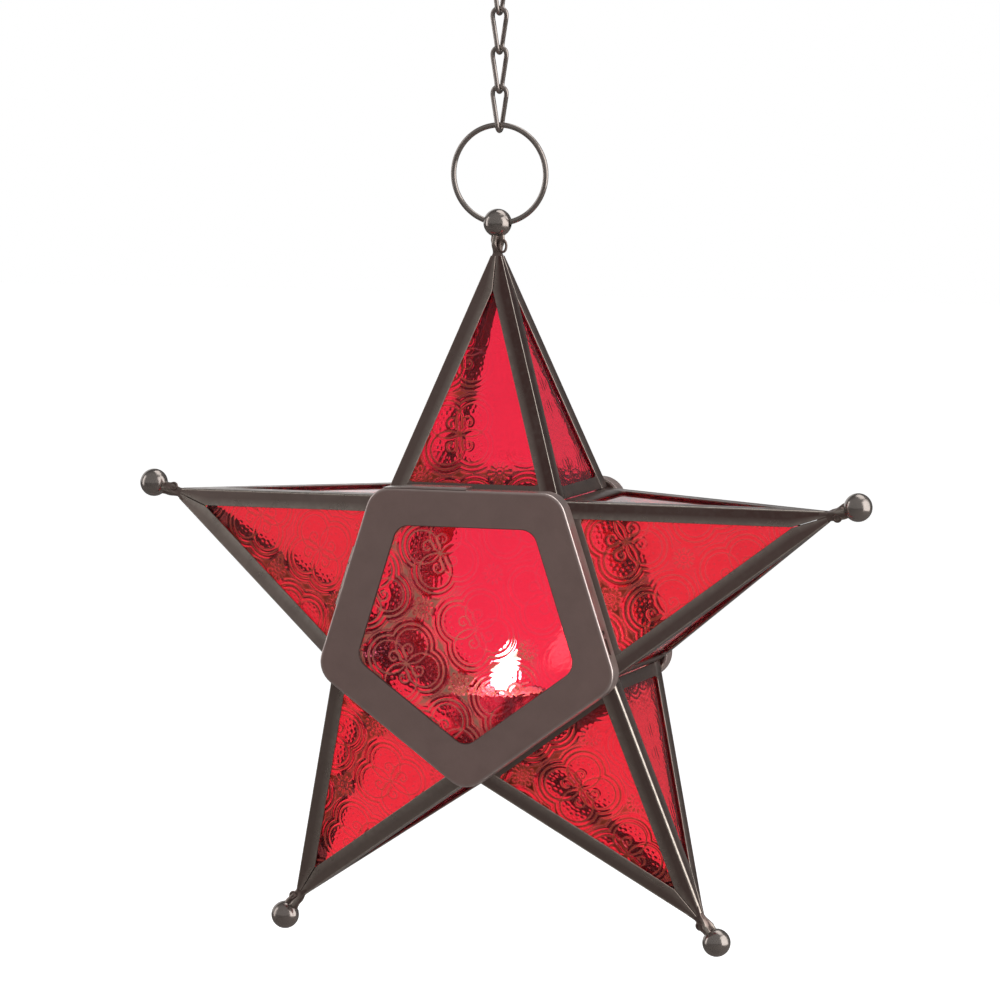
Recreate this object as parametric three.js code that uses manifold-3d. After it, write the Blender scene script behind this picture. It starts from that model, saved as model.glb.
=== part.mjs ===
// A five-pointed star lantern of folded bronze sheet and pressed red glass, on a ring, a chain and a hook.
// Millimetres, +Z up, the door faces -Y. The origin is the point where the hook bears on what holds it.

import * as THREE from 'three';
import { ConvexGeometry } from 'three/addons/geometries/ConvexGeometry.js';
import { mergeVertices } from 'three/addons/utils/BufferGeometryUtils.js';
import Module from 'manifold-3d';

const wasm = await Module();
wasm.setup();

// Star
const tipReach = 152.4; // star centre to the centre of a tip ball
const apexShort = 6.4; // a spike's ridges would meet this far short of its ball's centre
const valleyReach = 60.1; // star centre to the valley between two spikes
const bodyDepth = 58.6; // front valley to back valley
const starShift = -0.8; // how far the star hangs to the left of the chain
const sheet = 0.8; // wall of the folded sheet
const ridgeFlange = 6.5; // width of the fold beside each ridge
const frontBaseStrip = 5.5; // strip across the foot of a front or back window
const sideBaseStrip = 5; // strip across the foot of a side window
const topValleyStrip = 9; // the same on the side faces that look up
const windowCorner = 1.2; // corner radius of the spike windows
const windowFromApex = 0.4; // how far a blunt pane passes its window's point

// Necks and balls
const ballRadius = 5.5;
const neckFoot = 4; // pinched neck, across its foot
const neckHead = 5.4; // the same across its head
const neckTwist = 24; // degrees that the folds twist along the neck
const pegRadius = 1.2; // peg of the neck, in the ball
const pegLength = 2.2;

// Glass
const glass = 2.2; // pane thickness
const paneOverlap = 2.5; // how far a pane reaches behind the strips round its window

// Collars, door and back cover
const collarWall = 0.8;
const collarInset = 0.3; // collar to the open foot of a spike
const collarCorner = 7;
const collarReachIn = 5.3; // how far a collar stands into the body behind the valleys
const coverPastFoot = 3.6; // how far a cover's edges pass the feet of the spikes
const coverCorner = 10;
const coverDepth = 7.4; // rim of a cover, front to back
const coverSheet = 1;
const coverPlate = 14.4; // width of a cover's plate, edge to window
const coverWindowCorner = 6.5;
const coverPaneOverlap = 5;
const tabWidth = 6; // bent tabs that hold a cover's pane
const tabSheet = 0.8;
const tabLip = 2.4;

// Hinge and catch
const barrelRadius = 1.25;
const hingePinRadius = 0.5;
const hingeLength = 24;
const hingeLeaf = 0.45;
const doorKnuckle = 10;
const doorLeafHeight = 3.2;
const starLeafWidth = 2.8;
const catchSheet = 0.5;
const catchLength = 8;
const catchAlong = -23; // along the right edge of the door, from its middle
const slotLong = 6.5;
const slotShort = 1.7;
const slotHeight = 1.8;
const slotStep = 5.6; // long slot's middle to short slot's middle
const slotFromFace = 2.6; // slot's middle to the face of the door

// Candle
const bracketLegs = 12; // top of the bracket above the lowest corner of the collars
const shelfWidth = 28;
const shelfSheet = 1;
const tealightRadius = 19;
const tealightHeight = 16;
const tealightWall = 0.6;
const waxHeight = 12.4;
const wickRadius = 0.8;
const wickLength = 11;
const wickShows = 5;
const cupWall = 0.8;
const cupHeight = 8;

// Ring, chain and hook
const ringRadius = 18.85; // to the middle of the wire
const ringWire = 1.05; // wire radius
const linkWire = 0.9;
const linkPitch = 15;
const linkHalfWidth = 2.9; // to the middle of the wire
const linkCount = 6;
const linkTwist = 90;
const hookWire = 1.2;
const hookRadius = 9.2; // to the middle of the wire
const eyeRadius = 3.2;
const hookRise = 22; // middle of the eye to the middle of the bend
const hookMouth = -30; // where the bend ends, in degrees

// Clearances
const gap = 0.3; // between pieces that touch
const running = 0.3; // round a pin or a wire that turns
const cut = 1; // how far a cutting solid passes what it cuts

const rad = THREE.MathUtils.degToRad;
const points = 5;
const fullTurn = 360;
const step = fullTurn / points;
const wireSides = 8;
const cornerSegments = 3; // half the facets of a rounded corner
const apexReach = tipReach - apexShort;
const baseReach = valleyReach * Math.cos(rad(step / 2)); // star centre to the foot of a spike
const baseHalfWidth = valleyReach * Math.sin(rad(step / 2)) - gap / 2;
const baseHalfDepth = bodyDepth / 2;
const spikeRise = apexReach - baseReach;
const coverFace = baseHalfDepth + gap + coverDepth; // middle plane to the face of a cover
const coverInradius = baseReach + coverPastFoot;
const coverWindow = coverInradius - coverPlate;
const collarInradius = baseReach - collarInset - collarWall;
const collarSeat = (collarInradius - gap) / Math.cos(rad(step / 2)); // centre to a sharp corner inside a collar
const shelfDrop = collarSeat - bracketLegs;

// Solids

function solidOf(geometry) {
  const bare = geometry.index ? geometry.toNonIndexed() : geometry.clone();
  for (const name of Object.keys(bare.attributes)) {
    if (name !== 'position') bare.deleteAttribute(name);
  }
  const merged = mergeVertices(bare, 1e-4);
  return new wasm.Manifold(new wasm.Mesh({
    numProp: 3,
    vertProperties: new Float32Array(merged.attributes.position.array),
    triVerts: new Uint32Array(merged.index.array),
  }));
}

function geometryOf(solid) {
  const mesh = solid.getMesh();
  const geometry = new THREE.BufferGeometry();
  geometry.setAttribute('position', new THREE.BufferAttribute(new Float32Array(mesh.vertProperties), 3));
  geometry.setIndex(new THREE.BufferAttribute(new Uint32Array(mesh.triVerts), 1));
  geometry.computeVertexNormals();
  return geometry;
}

function carve(blank, ...cutters) {
  return cutters.reduce((solid, cutter) => solid.subtract(solidOf(cutter)), blank);
}

// Outlines

function vec(x, y) {
  return new THREE.Vector2(x, y);
}

// A polygon, counter-clockwise, with each corner turned on the same radius.
function roundedShape(corners, radius) {
  const shape = new THREE.Shape();
  corners.forEach((corner, i) => {
    const before = corners[(i + corners.length - 1) % corners.length];
    const after = corners[(i + 1) % corners.length];
    const inward = corner.clone().sub(before).normalize();
    const outward = after.clone().sub(corner).normalize();
    const turn = Math.acos(THREE.MathUtils.clamp(inward.dot(outward), -1, 1));
    const start = corner.clone().addScaledVector(inward, -radius * Math.tan(turn / 2));
    const centre = start.clone().add(vec(-inward.y, inward.x).multiplyScalar(radius));
    const from = Math.atan2(start.y - centre.y, start.x - centre.x);
    if (i === 0) shape.moveTo(start.x, start.y);
    shape.absarc(centre.x, centre.y, radius, from, from + turn, false);
  });
  shape.closePath();
  return shape;
}

// A pentagon with a corner pointing down, given by the distance to its flats.
function pentagon(inradius, cornerRadius) {
  const reach = inradius / Math.cos(rad(step / 2));
  const corners = [];
  for (let i = 0; i < points; i += 1) {
    const angle = rad(-90 + i * step);
    corners.push(vec(reach * Math.cos(angle), reach * Math.sin(angle)));
  }
  return roundedShape(corners, cornerRadius);
}

// An outline in the plane of the star (x to x, y to z), filled from one depth to another.
function slab(shape, fromY, toY) {
  const geometry = new THREE.ExtrudeGeometry(
    shape, { depth: toY - fromY, bevelEnabled: false, curveSegments: cornerSegments });
  geometry.rotateX(Math.PI / 2);
  geometry.translate(0, toY, 0);
  return geometry;
}

function block(x0, x1, y0, y1, z0, z1) {
  const geometry = new THREE.BoxGeometry(x1 - x0, y1 - y0, z1 - z0);
  geometry.translate((x0 + x1) / 2, (y0 + y1) / 2, (z0 + z1) / 2);
  return geometry;
}

function upright(radius, fromZ, toZ, sides = 24) {
  const geometry = new THREE.CylinderGeometry(radius, radius, toZ - fromZ, sides);
  geometry.rotateX(Math.PI / 2);
  geometry.translate(0, 0, (fromZ + toZ) / 2);
  return geometry;
}

// A rod along x, centred on the middle of an edge.
function rod(radius, fromX, toX, y, z, sides = 12) {
  const geometry = new THREE.CylinderGeometry(radius, radius, toX - fromX, sides);
  geometry.rotateZ(Math.PI / 2);
  geometry.translate((fromX + toX) / 2, y, z);
  return geometry;
}

// Spikes, built pointing up from the star's centre and then turned to their places

// The half width and half depth of a spike at a height, set in from its faces by a wall.
function spikeSection(height, wall) {
  const share = (apexReach - height) / spikeRise;
  const setIn = (half) => wall * Math.hypot(half, spikeRise) / spikeRise;
  return {
    x: baseHalfWidth * share - setIn(baseHalfWidth),
    y: baseHalfDepth * share - setIn(baseHalfDepth),
  };
}

function rectangleAt(x, y, z, turn = 0) {
  const axis = new THREE.Vector3(0, 0, 1);
  return [[1, 1], [-1, 1], [-1, -1], [1, -1]].map(
    ([a, b]) => new THREE.Vector3(a * x, b * y, z).applyAxisAngle(axis, rad(turn)));
}

function spikeCore(fromZ, toZ, wall) {
  const foot = spikeSection(fromZ, wall);
  const head = spikeSection(toZ, wall);
  return new ConvexGeometry([...rectangleAt(foot.x, foot.y, fromZ), ...rectangleAt(head.x, head.y, toZ)]);
}

// Each face of a spike has its own plane: s runs along the foot and q up the slope, and n points out.
function spikeFaces(upFacingSide) {
  const face = (name, turn, half, offset, strip) => {
    const slant = Math.hypot(spikeRise, offset);
    const along = new THREE.Vector3(1, 0, 0);
    const up = new THREE.Vector3(0, offset / slant, spikeRise / slant);
    const out = new THREE.Vector3().crossVectors(along, up);
    const place = new THREE.Matrix4().makeBasis(along, up, out);
    place.setPosition(0, -offset, baseReach);
    place.premultiply(new THREE.Matrix4().makeRotationZ(rad(turn)));
    return { name, place, slant, half, strip };
  };
  const sideStrip = (name) => (name === upFacingSide ? topValleyStrip : sideBaseStrip);
  return [
    face('front', 0, baseHalfWidth, baseHalfDepth, frontBaseStrip),
    face('right', 90, baseHalfDepth, baseHalfWidth, sideStrip('right')),
    face('back', 180, baseHalfWidth, baseHalfDepth, frontBaseStrip),
    face('left', 270, baseHalfDepth, baseHalfWidth, sideStrip('left')),
  ];
}

// The corners of a face drawn in from its ridges and its foot, and cut off blunt at a height if one is given.
function faceOutline(face, inset, foot, bluntAt) {
  const beta = Math.atan(face.half / face.slant);
  const halfAt = (q) => (face.slant - q) * Math.tan(beta) - inset / Math.cos(beta);
  const tip = face.slant - inset / Math.sin(beta);
  const corners = [vec(-halfAt(foot), foot), vec(halfAt(foot), foot)];
  if (bluntAt !== undefined && bluntAt < tip) {
    return [...corners, vec(halfAt(bluntAt), bluntAt), vec(-halfAt(bluntAt), bluntAt)];
  }
  return [...corners, vec(0, tip)];
}

function onFace(face, shape, fromDepth, toDepth) {
  const geometry = new THREE.ExtrudeGeometry(
    shape, { depth: toDepth - fromDepth, bevelEnabled: false, curveSegments: 1 });
  geometry.translate(0, 0, -toDepth);
  geometry.applyMatrix4(face.place);
  return geometry;
}

function neckFootReach() {
  return apexReach - spikeRise * (neckFoot / 2) / baseHalfDepth;
}

function spikeFrame(faces) {
  const neckStart = neckFootReach();
  const neckEnd = tipReach - ballRadius + pegLength / 2;
  const innerEnd = neckStart - 3 * sheet;
  const foot = spikeSection(neckStart, 0);
  const neck = new ConvexGeometry([
    ...rectangleAt(foot.x, foot.y, neckStart),
    ...rectangleAt(neckHead / 2, neckHead / 2, neckEnd, neckTwist),
  ]);
  const ballRoom = new THREE.SphereGeometry(ballRadius + gap, 12, 8);
  ballRoom.translate(0, 0, tipReach);
  const peg = upright(pegRadius, neckStart, tipReach - ballRadius + pegLength, 8);
  const windows = faces.map((face) => onFace(
    face, roundedShape(faceOutline(face, ridgeFlange, face.strip), windowCorner), -cut, sheet + cut));
  const pyramid = carve(
    solidOf(spikeCore(baseReach, neckStart, 0)), spikeCore(baseReach - cut, innerEnd, sheet), ...windows);
  return geometryOf(pyramid.add(carve(solidOf(neck), ballRoom)).add(solidOf(peg)));
}

// A pane lies behind its face's strips, blunt where the four panes of a spike would meet.
function spikePane(face) {
  const beta = Math.atan(face.half / face.slant);
  const windowTip = face.slant - ridgeFlange / Math.sin(beta);
  const outline = faceOutline(
    face, ridgeFlange - paneOverlap, face.strip - paneOverlap, windowTip + windowFromApex);
  return onFace(face, new THREE.Shape(outline), sheet + gap, sheet + gap + glass);
}

function tipBall(boreAxis) {
  const ball = new THREE.SphereGeometry(ballRadius, 14, 9);
  ball.rotateX(Math.PI / 2);
  const pegHole = upright(
    pegRadius + gap, -ballRadius - cut, -ballRadius + pegLength + gap, 8);
  let solid = carve(solidOf(ball), pegHole);
  if (boreAxis) {
    const bow = ballRadius ** 2 / (2 * ringRadius);
    const bore = new THREE.CylinderGeometry(
      ringWire + bow / 2 + gap, ringWire + bow / 2 + gap, 2 * (ballRadius + cut), 12);
    bore.applyQuaternion(new THREE.Quaternion().setFromUnitVectors(new THREE.Vector3(0, 1, 0), boreAxis));
    bore.translate(0, 0, bow / 2);
    solid = carve(solid, bore);
  }
  return geometryOf(solid);
}

// Collars and covers, built at the front; the back ones are turned about the upright axis

function collar() {
  const fromY = -(coverFace - coverSheet - gap);
  const toY = -(baseHalfDepth - collarReachIn);
  const band = slab(pentagon(collarInradius + collarWall, collarCorner + collarWall), fromY, toY);
  const hollow = slab(pentagon(collarInradius, collarCorner), fromY - cut, toY + cut);
  return geometryOf(carve(solidOf(band), hollow));
}

// Turns a solid from the top edge of a cover to another edge.
function toEdge(geometry, edge) {
  geometry.rotateY(rad(edge * step));
  return geometry;
}

function coverPan(slots) {
  const face = -coverFace;
  const inner = face + coverSheet;
  const pan = slab(pentagon(coverInradius, coverCorner), face, face + coverDepth);
  const hollow = slab(
    pentagon(coverInradius - coverSheet, coverCorner - coverSheet), inner, face + coverDepth + cut);
  const window = slab(pentagon(coverWindow, coverWindowCorner), face - cut, inner + cut);
  let solid = carve(solidOf(pan), hollow, window, ...slots);
  const legFoot = coverWindow + coverPaneOverlap + gap;
  const behindPane = inner + gap + glass + gap;
  for (let edge = 0; edge < points; edge += 1) {
    const leg = block(
      -tabWidth / 2, tabWidth / 2, inner - coverSheet / 2, behindPane + tabSheet, legFoot, legFoot + tabSheet);
    const lip = block(
      -tabWidth / 2, tabWidth / 2, behindPane, behindPane + tabSheet, legFoot - tabLip, legFoot + tabSheet);
    solid = solid.add(solidOf(toEdge(leg, edge))).add(solidOf(toEdge(lip, edge)));
  }
  return geometryOf(solid);
}

function coverPane() {
  const front = -(coverFace - coverSheet - gap);
  return slab(pentagon(coverWindow + coverPaneOverlap, coverWindowCorner + coverPaneOverlap), front, front + glass);
}

function catchSlots(edge) {
  const y = -coverFace + slotFromFace;
  const slot = (middle, length) => toEdge(block(
    middle - length / 2, middle + length / 2, y - slotHeight / 2, y + slotHeight / 2,
    coverInradius - coverSheet - cut, coverInradius + cut), edge);
  return [slot(-catchAlong, slotLong), slot(-catchAlong - slotStep, slotShort)];
}

// The tongue stands between the collar and the door's rim, behind the long slot.
function catchTongue(edge) {
  const room = coverInradius - coverSheet - (collarInradius + collarWall) - catchSheet;
  const foot = collarInradius + collarWall + room / 2;
  return toEdge(block(
    -catchAlong - catchLength / 2, -catchAlong + catchLength / 2,
    -(coverFace - coverSheet - gap), -(baseHalfDepth + gap), foot, foot + catchSheet), edge);
}

// The hinge runs along an edge of the door, over the foot of a spike's front face.
const hingeEdge = -1;
const catchEdge = 1;
const hingeReach = coverInradius + gap + barrelRadius;
const spikeSlope = Math.atan(baseHalfDepth / spikeRise);
const leafTop = (gap + hingeLeaf) / Math.cos(spikeSlope);
const hingeDepth = baseHalfDepth - (hingeReach - baseReach) * Math.tan(spikeSlope)
  + leafTop + (barrelRadius - hingeLeaf / 2) / Math.cos(spikeSlope);

function knuckle(fromX, toX) {
  return solidOf(rod(barrelRadius, fromX, toX, -hingeDepth, hingeReach));
}

function hingeBore() {
  return rod(hingePinRadius + running, -hingeLength / 2 - cut, hingeLength / 2 + cut, -hingeDepth, hingeReach, 10);
}

function hingeStarLeaf() {
  const leaf = new THREE.BoxGeometry(hingeLength, hingeLeaf, starLeafWidth);
  leaf.translate(0, -gap - hingeLeaf / 2, starLeafWidth / 2);
  leaf.rotateX(-spikeSlope);
  const foot = coverInradius + gap;
  leaf.translate(0, -(baseHalfDepth - (foot - baseReach) * Math.tan(spikeSlope)), foot);
  const inner = doorKnuckle / 2 + gap;
  const solid = solidOf(leaf)
    .add(knuckle(-hingeLength / 2, -inner))
    .add(knuckle(inner, hingeLength / 2));
  const doorRoom = rod(barrelRadius + gap, -inner, inner, -hingeDepth, hingeReach);
  return geometryOf(carve(solid, hingeBore(), doorRoom));
}

function hingeDoorLeaf() {
  const top = -hingeDepth - barrelRadius - gap;
  const leaf = block(
    -hingeLength / 2, hingeLength / 2, top - doorLeafHeight, top, coverInradius + gap, coverInradius + gap + hingeLeaf);
  const root = block(
    -doorKnuckle / 2, doorKnuckle / 2, top - cut, -hingeDepth, coverInradius + gap, coverInradius + gap + hingeLeaf);
  const solid = solidOf(leaf).add(solidOf(root)).add(knuckle(-doorKnuckle / 2, doorKnuckle / 2));
  return geometryOf(carve(solid, hingeBore()));
}

function hingePin() {
  return rod(hingePinRadius, -hingeLength / 2 - gap, hingeLength / 2 + gap, -hingeDepth, hingeReach, 10);
}

// Candle

// A shelf across the body, with a V-shaped end that sits in the lowest corner of each collar.
function candleBracket() {
  const seat = collarSeat;
  const slope = Math.tan(rad(step / 2));
  const top = -shelfDrop;
  const flat = 3; // width of the blunt foot of the V
  const end = baseHalfDepth - collarReachIn + shelfSheet + gap;
  const reach = coverFace - coverSheet - gap - glass - tabSheet - 2 * gap;
  const shelf = block(-shelfWidth / 2, shelfWidth / 2, -reach, reach, top - shelfSheet, top);
  const trim = new THREE.Shape([
    vec(-flat, -seat + flat * slope), vec(flat, -seat + flat * slope), vec(seat, -seat + seat * slope),
    vec(seat, 0), vec(-seat, 0), vec(-seat, -seat + seat * slope),
  ]);
  const inCollars = solidOf(slab(trim, -reach - cut, reach + cut));
  const endPlate = (y) => solidOf(
    block(-shelfWidth / 2, shelfWidth / 2, y - shelfSheet / 2, y + shelfSheet / 2, -seat, top));
  return geometryOf(
    solidOf(shelf).add(endPlate(end)).add(endPlate(-end)).intersect(inCollars));
}

// A round cup, open at the top, from its outer radius, height and wall.
function cupGeometry(radius, height, wall) {
  const profile = [
    vec(0, 0), vec(radius, 0), vec(radius, height), vec(radius - wall, height), vec(radius - wall, wall), vec(0, wall),
  ];
  const geometry = new THREE.LatheGeometry(profile, 24);
  geometry.rotateX(Math.PI / 2);
  return geometry;
}

const candleCupFoot = -shelfDrop + gap;
const tealightFoot = candleCupFoot + cupWall + gap;
const waxFoot = tealightFoot + tealightWall + gap;
const wickFoot = waxFoot + waxHeight - (wickLength - wickShows);

function waxBlock() {
  const body = upright(tealightRadius - tealightWall - gap, waxFoot, waxFoot + waxHeight, 24);
  const hole = upright(wickRadius + gap, wickFoot - gap, waxFoot + waxHeight + cut, 8);
  return geometryOf(carve(solidOf(body), hole));
}

// Ring, chain and hook

function closedTube(curve, radius, steps, sides) {
  return geometryOf(solidOf(new THREE.TubeGeometry(curve, steps, radius, sides, true)));
}

// A link's wire goes round a long loop whose lower half is twisted square to its upper half.
class LinkCurve extends THREE.Curve {
  constructor(length, halfWidth, twist) {
    super();
    this.straight = length - 2 * halfWidth;
    this.halfWidth = halfWidth;
    this.twist = rad(twist);
  }

  getPoint(t, target = new THREE.Vector3()) {
    const arc = Math.PI * this.halfWidth;
    const round = 2 * (arc + this.straight);
    const way = ((t % 1) + 1) % 1 * round;
    let across;
    let up;
    if (way < arc) {
      across = this.halfWidth * Math.cos(way / this.halfWidth);
      up = this.straight / 2 + this.halfWidth * Math.sin(way / this.halfWidth);
    } else if (way < arc + this.straight) {
      across = -this.halfWidth;
      up = this.straight / 2 - (way - arc);
    } else if (way < 2 * arc + this.straight) {
      const turn = Math.PI + (way - arc - this.straight) / this.halfWidth;
      across = this.halfWidth * Math.cos(turn);
      up = -this.straight / 2 + this.halfWidth * Math.sin(turn);
    } else {
      across = this.halfWidth;
      up = -this.straight / 2 + (way - 2 * arc - this.straight);
    }
    const share = THREE.MathUtils.smoothstep(-up, -this.straight / 2, this.straight / 2);
    const turned = this.twist * share;
    return target.set(across * Math.cos(turned), across * Math.sin(turned), up);
  }
}

// The hook: an open bend at the top, a slanting shank and a closed eye, in the upright plane x = 0.
function hookGeometry(bendHeight, eyeHeight) {
  const path = [];
  const bend = (centre, radius, fromAngle, toAngle, steps) => {
    for (let i = 0; i <= steps; i += 1) {
      const angle = rad(fromAngle + (toAngle - fromAngle) * i / steps);
      path.push(new THREE.Vector3(0, radius * Math.cos(angle), centre + radius * Math.sin(angle)));
    }
  };
  const tangent = THREE.MathUtils.radToDeg(Math.asin((hookRadius + eyeRadius) / (bendHeight - eyeHeight)));
  const clear = THREE.MathUtils.radToDeg(Math.acos(1 - (2 * hookWire + gap) / eyeRadius));
  bend(bendHeight, hookRadius, hookMouth, 180 + tangent, 15);
  bend(eyeHeight, eyeRadius, tangent, tangent + clear - fullTurn, 15);
  const wire = new THREE.Shape();
  wire.absarc(0, 0, hookWire, 0, 2 * Math.PI, false);
  return new THREE.ExtrudeGeometry(wire, {
    extrudePath: new THREE.CatmullRomCurve3(path, false, 'centripetal'), steps: 44, curveSegments: wireSides / 2,
  });
}

// Assembly

const bronze = new THREE.MeshStandardMaterial({ color: 0x4a403a, roughness: 0.42, metalness: 0.85 });
const coverBronze = new THREE.MeshStandardMaterial({ color: 0x5c5048, roughness: 0.4, metalness: 0.8 });
const redGlass = new THREE.MeshStandardMaterial({
  color: 0xed2e48, roughness: 0.12, metalness: 0, transparent: true, opacity: 0.75,
});
const tin = new THREE.MeshStandardMaterial({ color: 0xc9cbcd, roughness: 0.35, metalness: 0.9 });
const paraffin = new THREE.MeshStandardMaterial({ color: 0xf2eee2, roughness: 0.6, metalness: 0 });
const cotton = new THREE.MeshStandardMaterial({ color: 0x3a3129, roughness: 0.95, metalness: 0 });

const lantern = new THREE.Group();
const star = new THREE.Group();

function place(group, name, geometry, material, turn = 0) {
  const mesh = new THREE.Mesh(geometry, material);
  mesh.name = name;
  mesh.rotation.y = rad(turn);
  group.add(mesh);
  return mesh;
}

// Heights above the star's centre
const ringRise = tipReach + Math.sqrt(ringRadius ** 2 - starShift ** 2);
const linkLength = linkPitch + 2 * linkWire + gap; // to the middle of the wire
const firstLinkFoot = ringRise + ringRadius - (ringWire + linkWire + gap);
const eyeFoot = firstLinkFoot + linkPitch * (linkCount - 1) + linkLength - (linkWire + hookWire + gap);
const eyeHeight = eyeFoot + eyeRadius;
const bendHeight = eyeHeight + hookRise;
const originHeight = bendHeight + hookRadius - hookWire;

star.position.set(starShift, 0, -originHeight);
lantern.add(star);

const spikes = ['top', 'right', 'lower_right', 'lower_left', 'left'];
spikes.forEach((spike, i) => {
  const turn = i * step;
  const upFacingSide = { right: 'left', left: 'right' }[spike];
  const faces = spikeFaces(upFacingSide);
  const boreAxis = new THREE.Vector3(Math.sqrt(ringRadius ** 2 - starShift ** 2), 0, starShift).normalize();
  place(star, `spike_frame_${spike}`, spikeFrame(faces), bronze, turn);
  const ball = place(star, `tip_ball_${spike}`, tipBall(i === 0 ? boreAxis : null), bronze, turn);
  ball.position.set(tipReach * Math.sin(rad(turn)), 0, tipReach * Math.cos(rad(turn)));
  faces.forEach((face) => place(star, `glass_${spike}_${face.name}`, spikePane(face), redGlass, turn));
});

place(star, 'front_collar', collar(), bronze);
place(star, 'back_collar', collar().rotateZ(Math.PI), bronze);
place(star, 'back_cover', coverPan([]).rotateZ(Math.PI), coverBronze);
place(star, 'back_glass', coverPane().rotateZ(Math.PI), redGlass);

place(star, 'door_frame', coverPan(catchSlots(catchEdge)), coverBronze);
place(star, 'door_glass', coverPane(), redGlass);
place(star, 'hinge_star_leaf', hingeStarLeaf(), bronze, hingeEdge * step);
place(star, 'hinge_door_leaf', hingeDoorLeaf(), bronze, hingeEdge * step);
place(star, 'hinge_pin', hingePin(), bronze, hingeEdge * step);
place(star, 'catch_tongue', catchTongue(catchEdge), bronze);

const candleCupRadius = tealightRadius + gap + cupWall;
place(star, 'candle_bracket', candleBracket(), bronze);
place(star, 'candle_cup', cupGeometry(candleCupRadius, cupHeight, cupWall), bronze).position.z = candleCupFoot;
place(star, 'tealight_cup', cupGeometry(tealightRadius, tealightHeight, tealightWall), tin).position.z = tealightFoot;
place(star, 'wax', waxBlock(), paraffin);
place(star, 'wick', upright(wickRadius, wickFoot, wickFoot + wickLength, 8), cotton);

const ring = new THREE.TorusGeometry(ringRadius, ringWire, wireSides, 44);
ring.rotateX(Math.PI / 2);
place(lantern, 'hanging_ring', ring, bronze).position.z = ringRise - originHeight;

const linkCurve = new LinkCurve(linkLength, linkHalfWidth, linkTwist);
for (let i = 1; i <= linkCount; i += 1) {
  const link = place(lantern, `chain_link_${i}`, closedTube(linkCurve, linkWire, 28, 6), bronze);
  link.position.z = firstLinkFoot + linkPitch * (linkCount - i) + linkLength / 2 - originHeight;
}
place(lantern, 'hook', hookGeometry(bendHeight, eyeHeight), bronze).position.z = -originHeight;

export default lantern;
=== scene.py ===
"""Dresses the star lantern: folded bronze strip, pressed red glass, a candle, and its ring, chain and hook.

Lengths are millimetres until a mesh is made, when they become metres. Each spike is worked out pointing up from
the star's middle, with x across it, y from front to back and z along it, and is then turned to its place.
"""

import logging
import math
from dataclasses import dataclass, field, replace
from enum import Enum
from typing import Callable

import bpy
import numpy as np
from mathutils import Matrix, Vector

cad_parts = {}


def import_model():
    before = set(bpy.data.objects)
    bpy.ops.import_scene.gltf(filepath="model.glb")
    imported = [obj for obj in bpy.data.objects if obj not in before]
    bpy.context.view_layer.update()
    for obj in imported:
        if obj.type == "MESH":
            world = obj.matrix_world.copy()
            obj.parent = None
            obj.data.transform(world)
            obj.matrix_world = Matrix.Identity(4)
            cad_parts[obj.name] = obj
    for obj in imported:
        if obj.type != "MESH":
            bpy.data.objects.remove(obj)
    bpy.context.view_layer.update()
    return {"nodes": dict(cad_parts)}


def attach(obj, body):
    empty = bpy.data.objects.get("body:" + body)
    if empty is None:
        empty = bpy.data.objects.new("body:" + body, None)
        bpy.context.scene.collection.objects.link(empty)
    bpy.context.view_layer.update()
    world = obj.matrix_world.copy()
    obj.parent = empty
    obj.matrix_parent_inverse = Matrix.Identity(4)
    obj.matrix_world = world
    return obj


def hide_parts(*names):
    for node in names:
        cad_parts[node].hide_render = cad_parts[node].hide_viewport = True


LOG = logging.getLogger("lantern")
MM = 0.001
Array = np.ndarray
Colour = tuple[float, float, float]
Place = tuple[float, float, float]
Move = Callable[[Array], Array]
Socket = bpy.types.NodeSocket

# Directions that a wire's section is laid out from
ACROSS = np.array([1.0, 0.0, 0.0])
DEEP = np.array([0.0, 1.0, 0.0])


# Shapes as arrays


def fifths(count: float) -> float:
    """So many fifths of a full turn, in radians."""
    return math.radians(72.0 * count)


def around(count: int) -> Array:
    """Angles evenly round a full turn."""
    return np.linspace(0, 2 * np.pi, count, endpoint=False)


def eased(share: Array) -> Array:
    """A share held between 0 and 1 and smoothed: three times its square less twice its cube."""
    share = np.clip(share, 0, 1)
    return share * share * (3 - 2 * share)


@dataclass
class Shell:
    """One closed surface.

    Args:
        points: its points, one row each, in millimetres.
        faces: blocks of faces, each an array of point numbers with one row per face.
        wear: a value for each point, or None for none. On metal 1 is bright metal, from rubbing
        and painted highlight, 0.9 paints the insides bright as light seen through the glass, and -1 is painted
        shadow. On glass it is the painted shade of the pressed lines, from 0 to 1.
        tone: on metal, the shell's place between the cool tone, 0, and the warm one, 1. On glass it is pinker
            above a half.
    """

    points: Array
    faces: list[Array]
    wear: Array | None = None
    tone: float = 0.5

    def moved(self, move: Move) -> "Shell":
        """The same shell with its points moved."""
        return replace(self, points=move(self.points))

    def outward(self) -> "Shell":
        """The same shell with its faces turned outwards, told by the sign of its volume.

        The volume is a sixth of the sum, over the triangles that fan out from each face's first corner, of the
        triple product of their corners.
        """
        total = 0.0
        origin = self.points.mean(axis=0)
        for block in self.faces:
            first = self.points[block[:, 0]] - origin
            for k in range(1, block.shape[1] - 1):
                second = self.points[block[:, k]] - origin
                third = self.points[block[:, k + 1]] - origin
                total += float(np.einsum("ij,ij->", first, np.cross(second, third)))
        if total < 0:
            return replace(self, faces=[block[:, ::-1] for block in self.faces])
        return self


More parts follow.
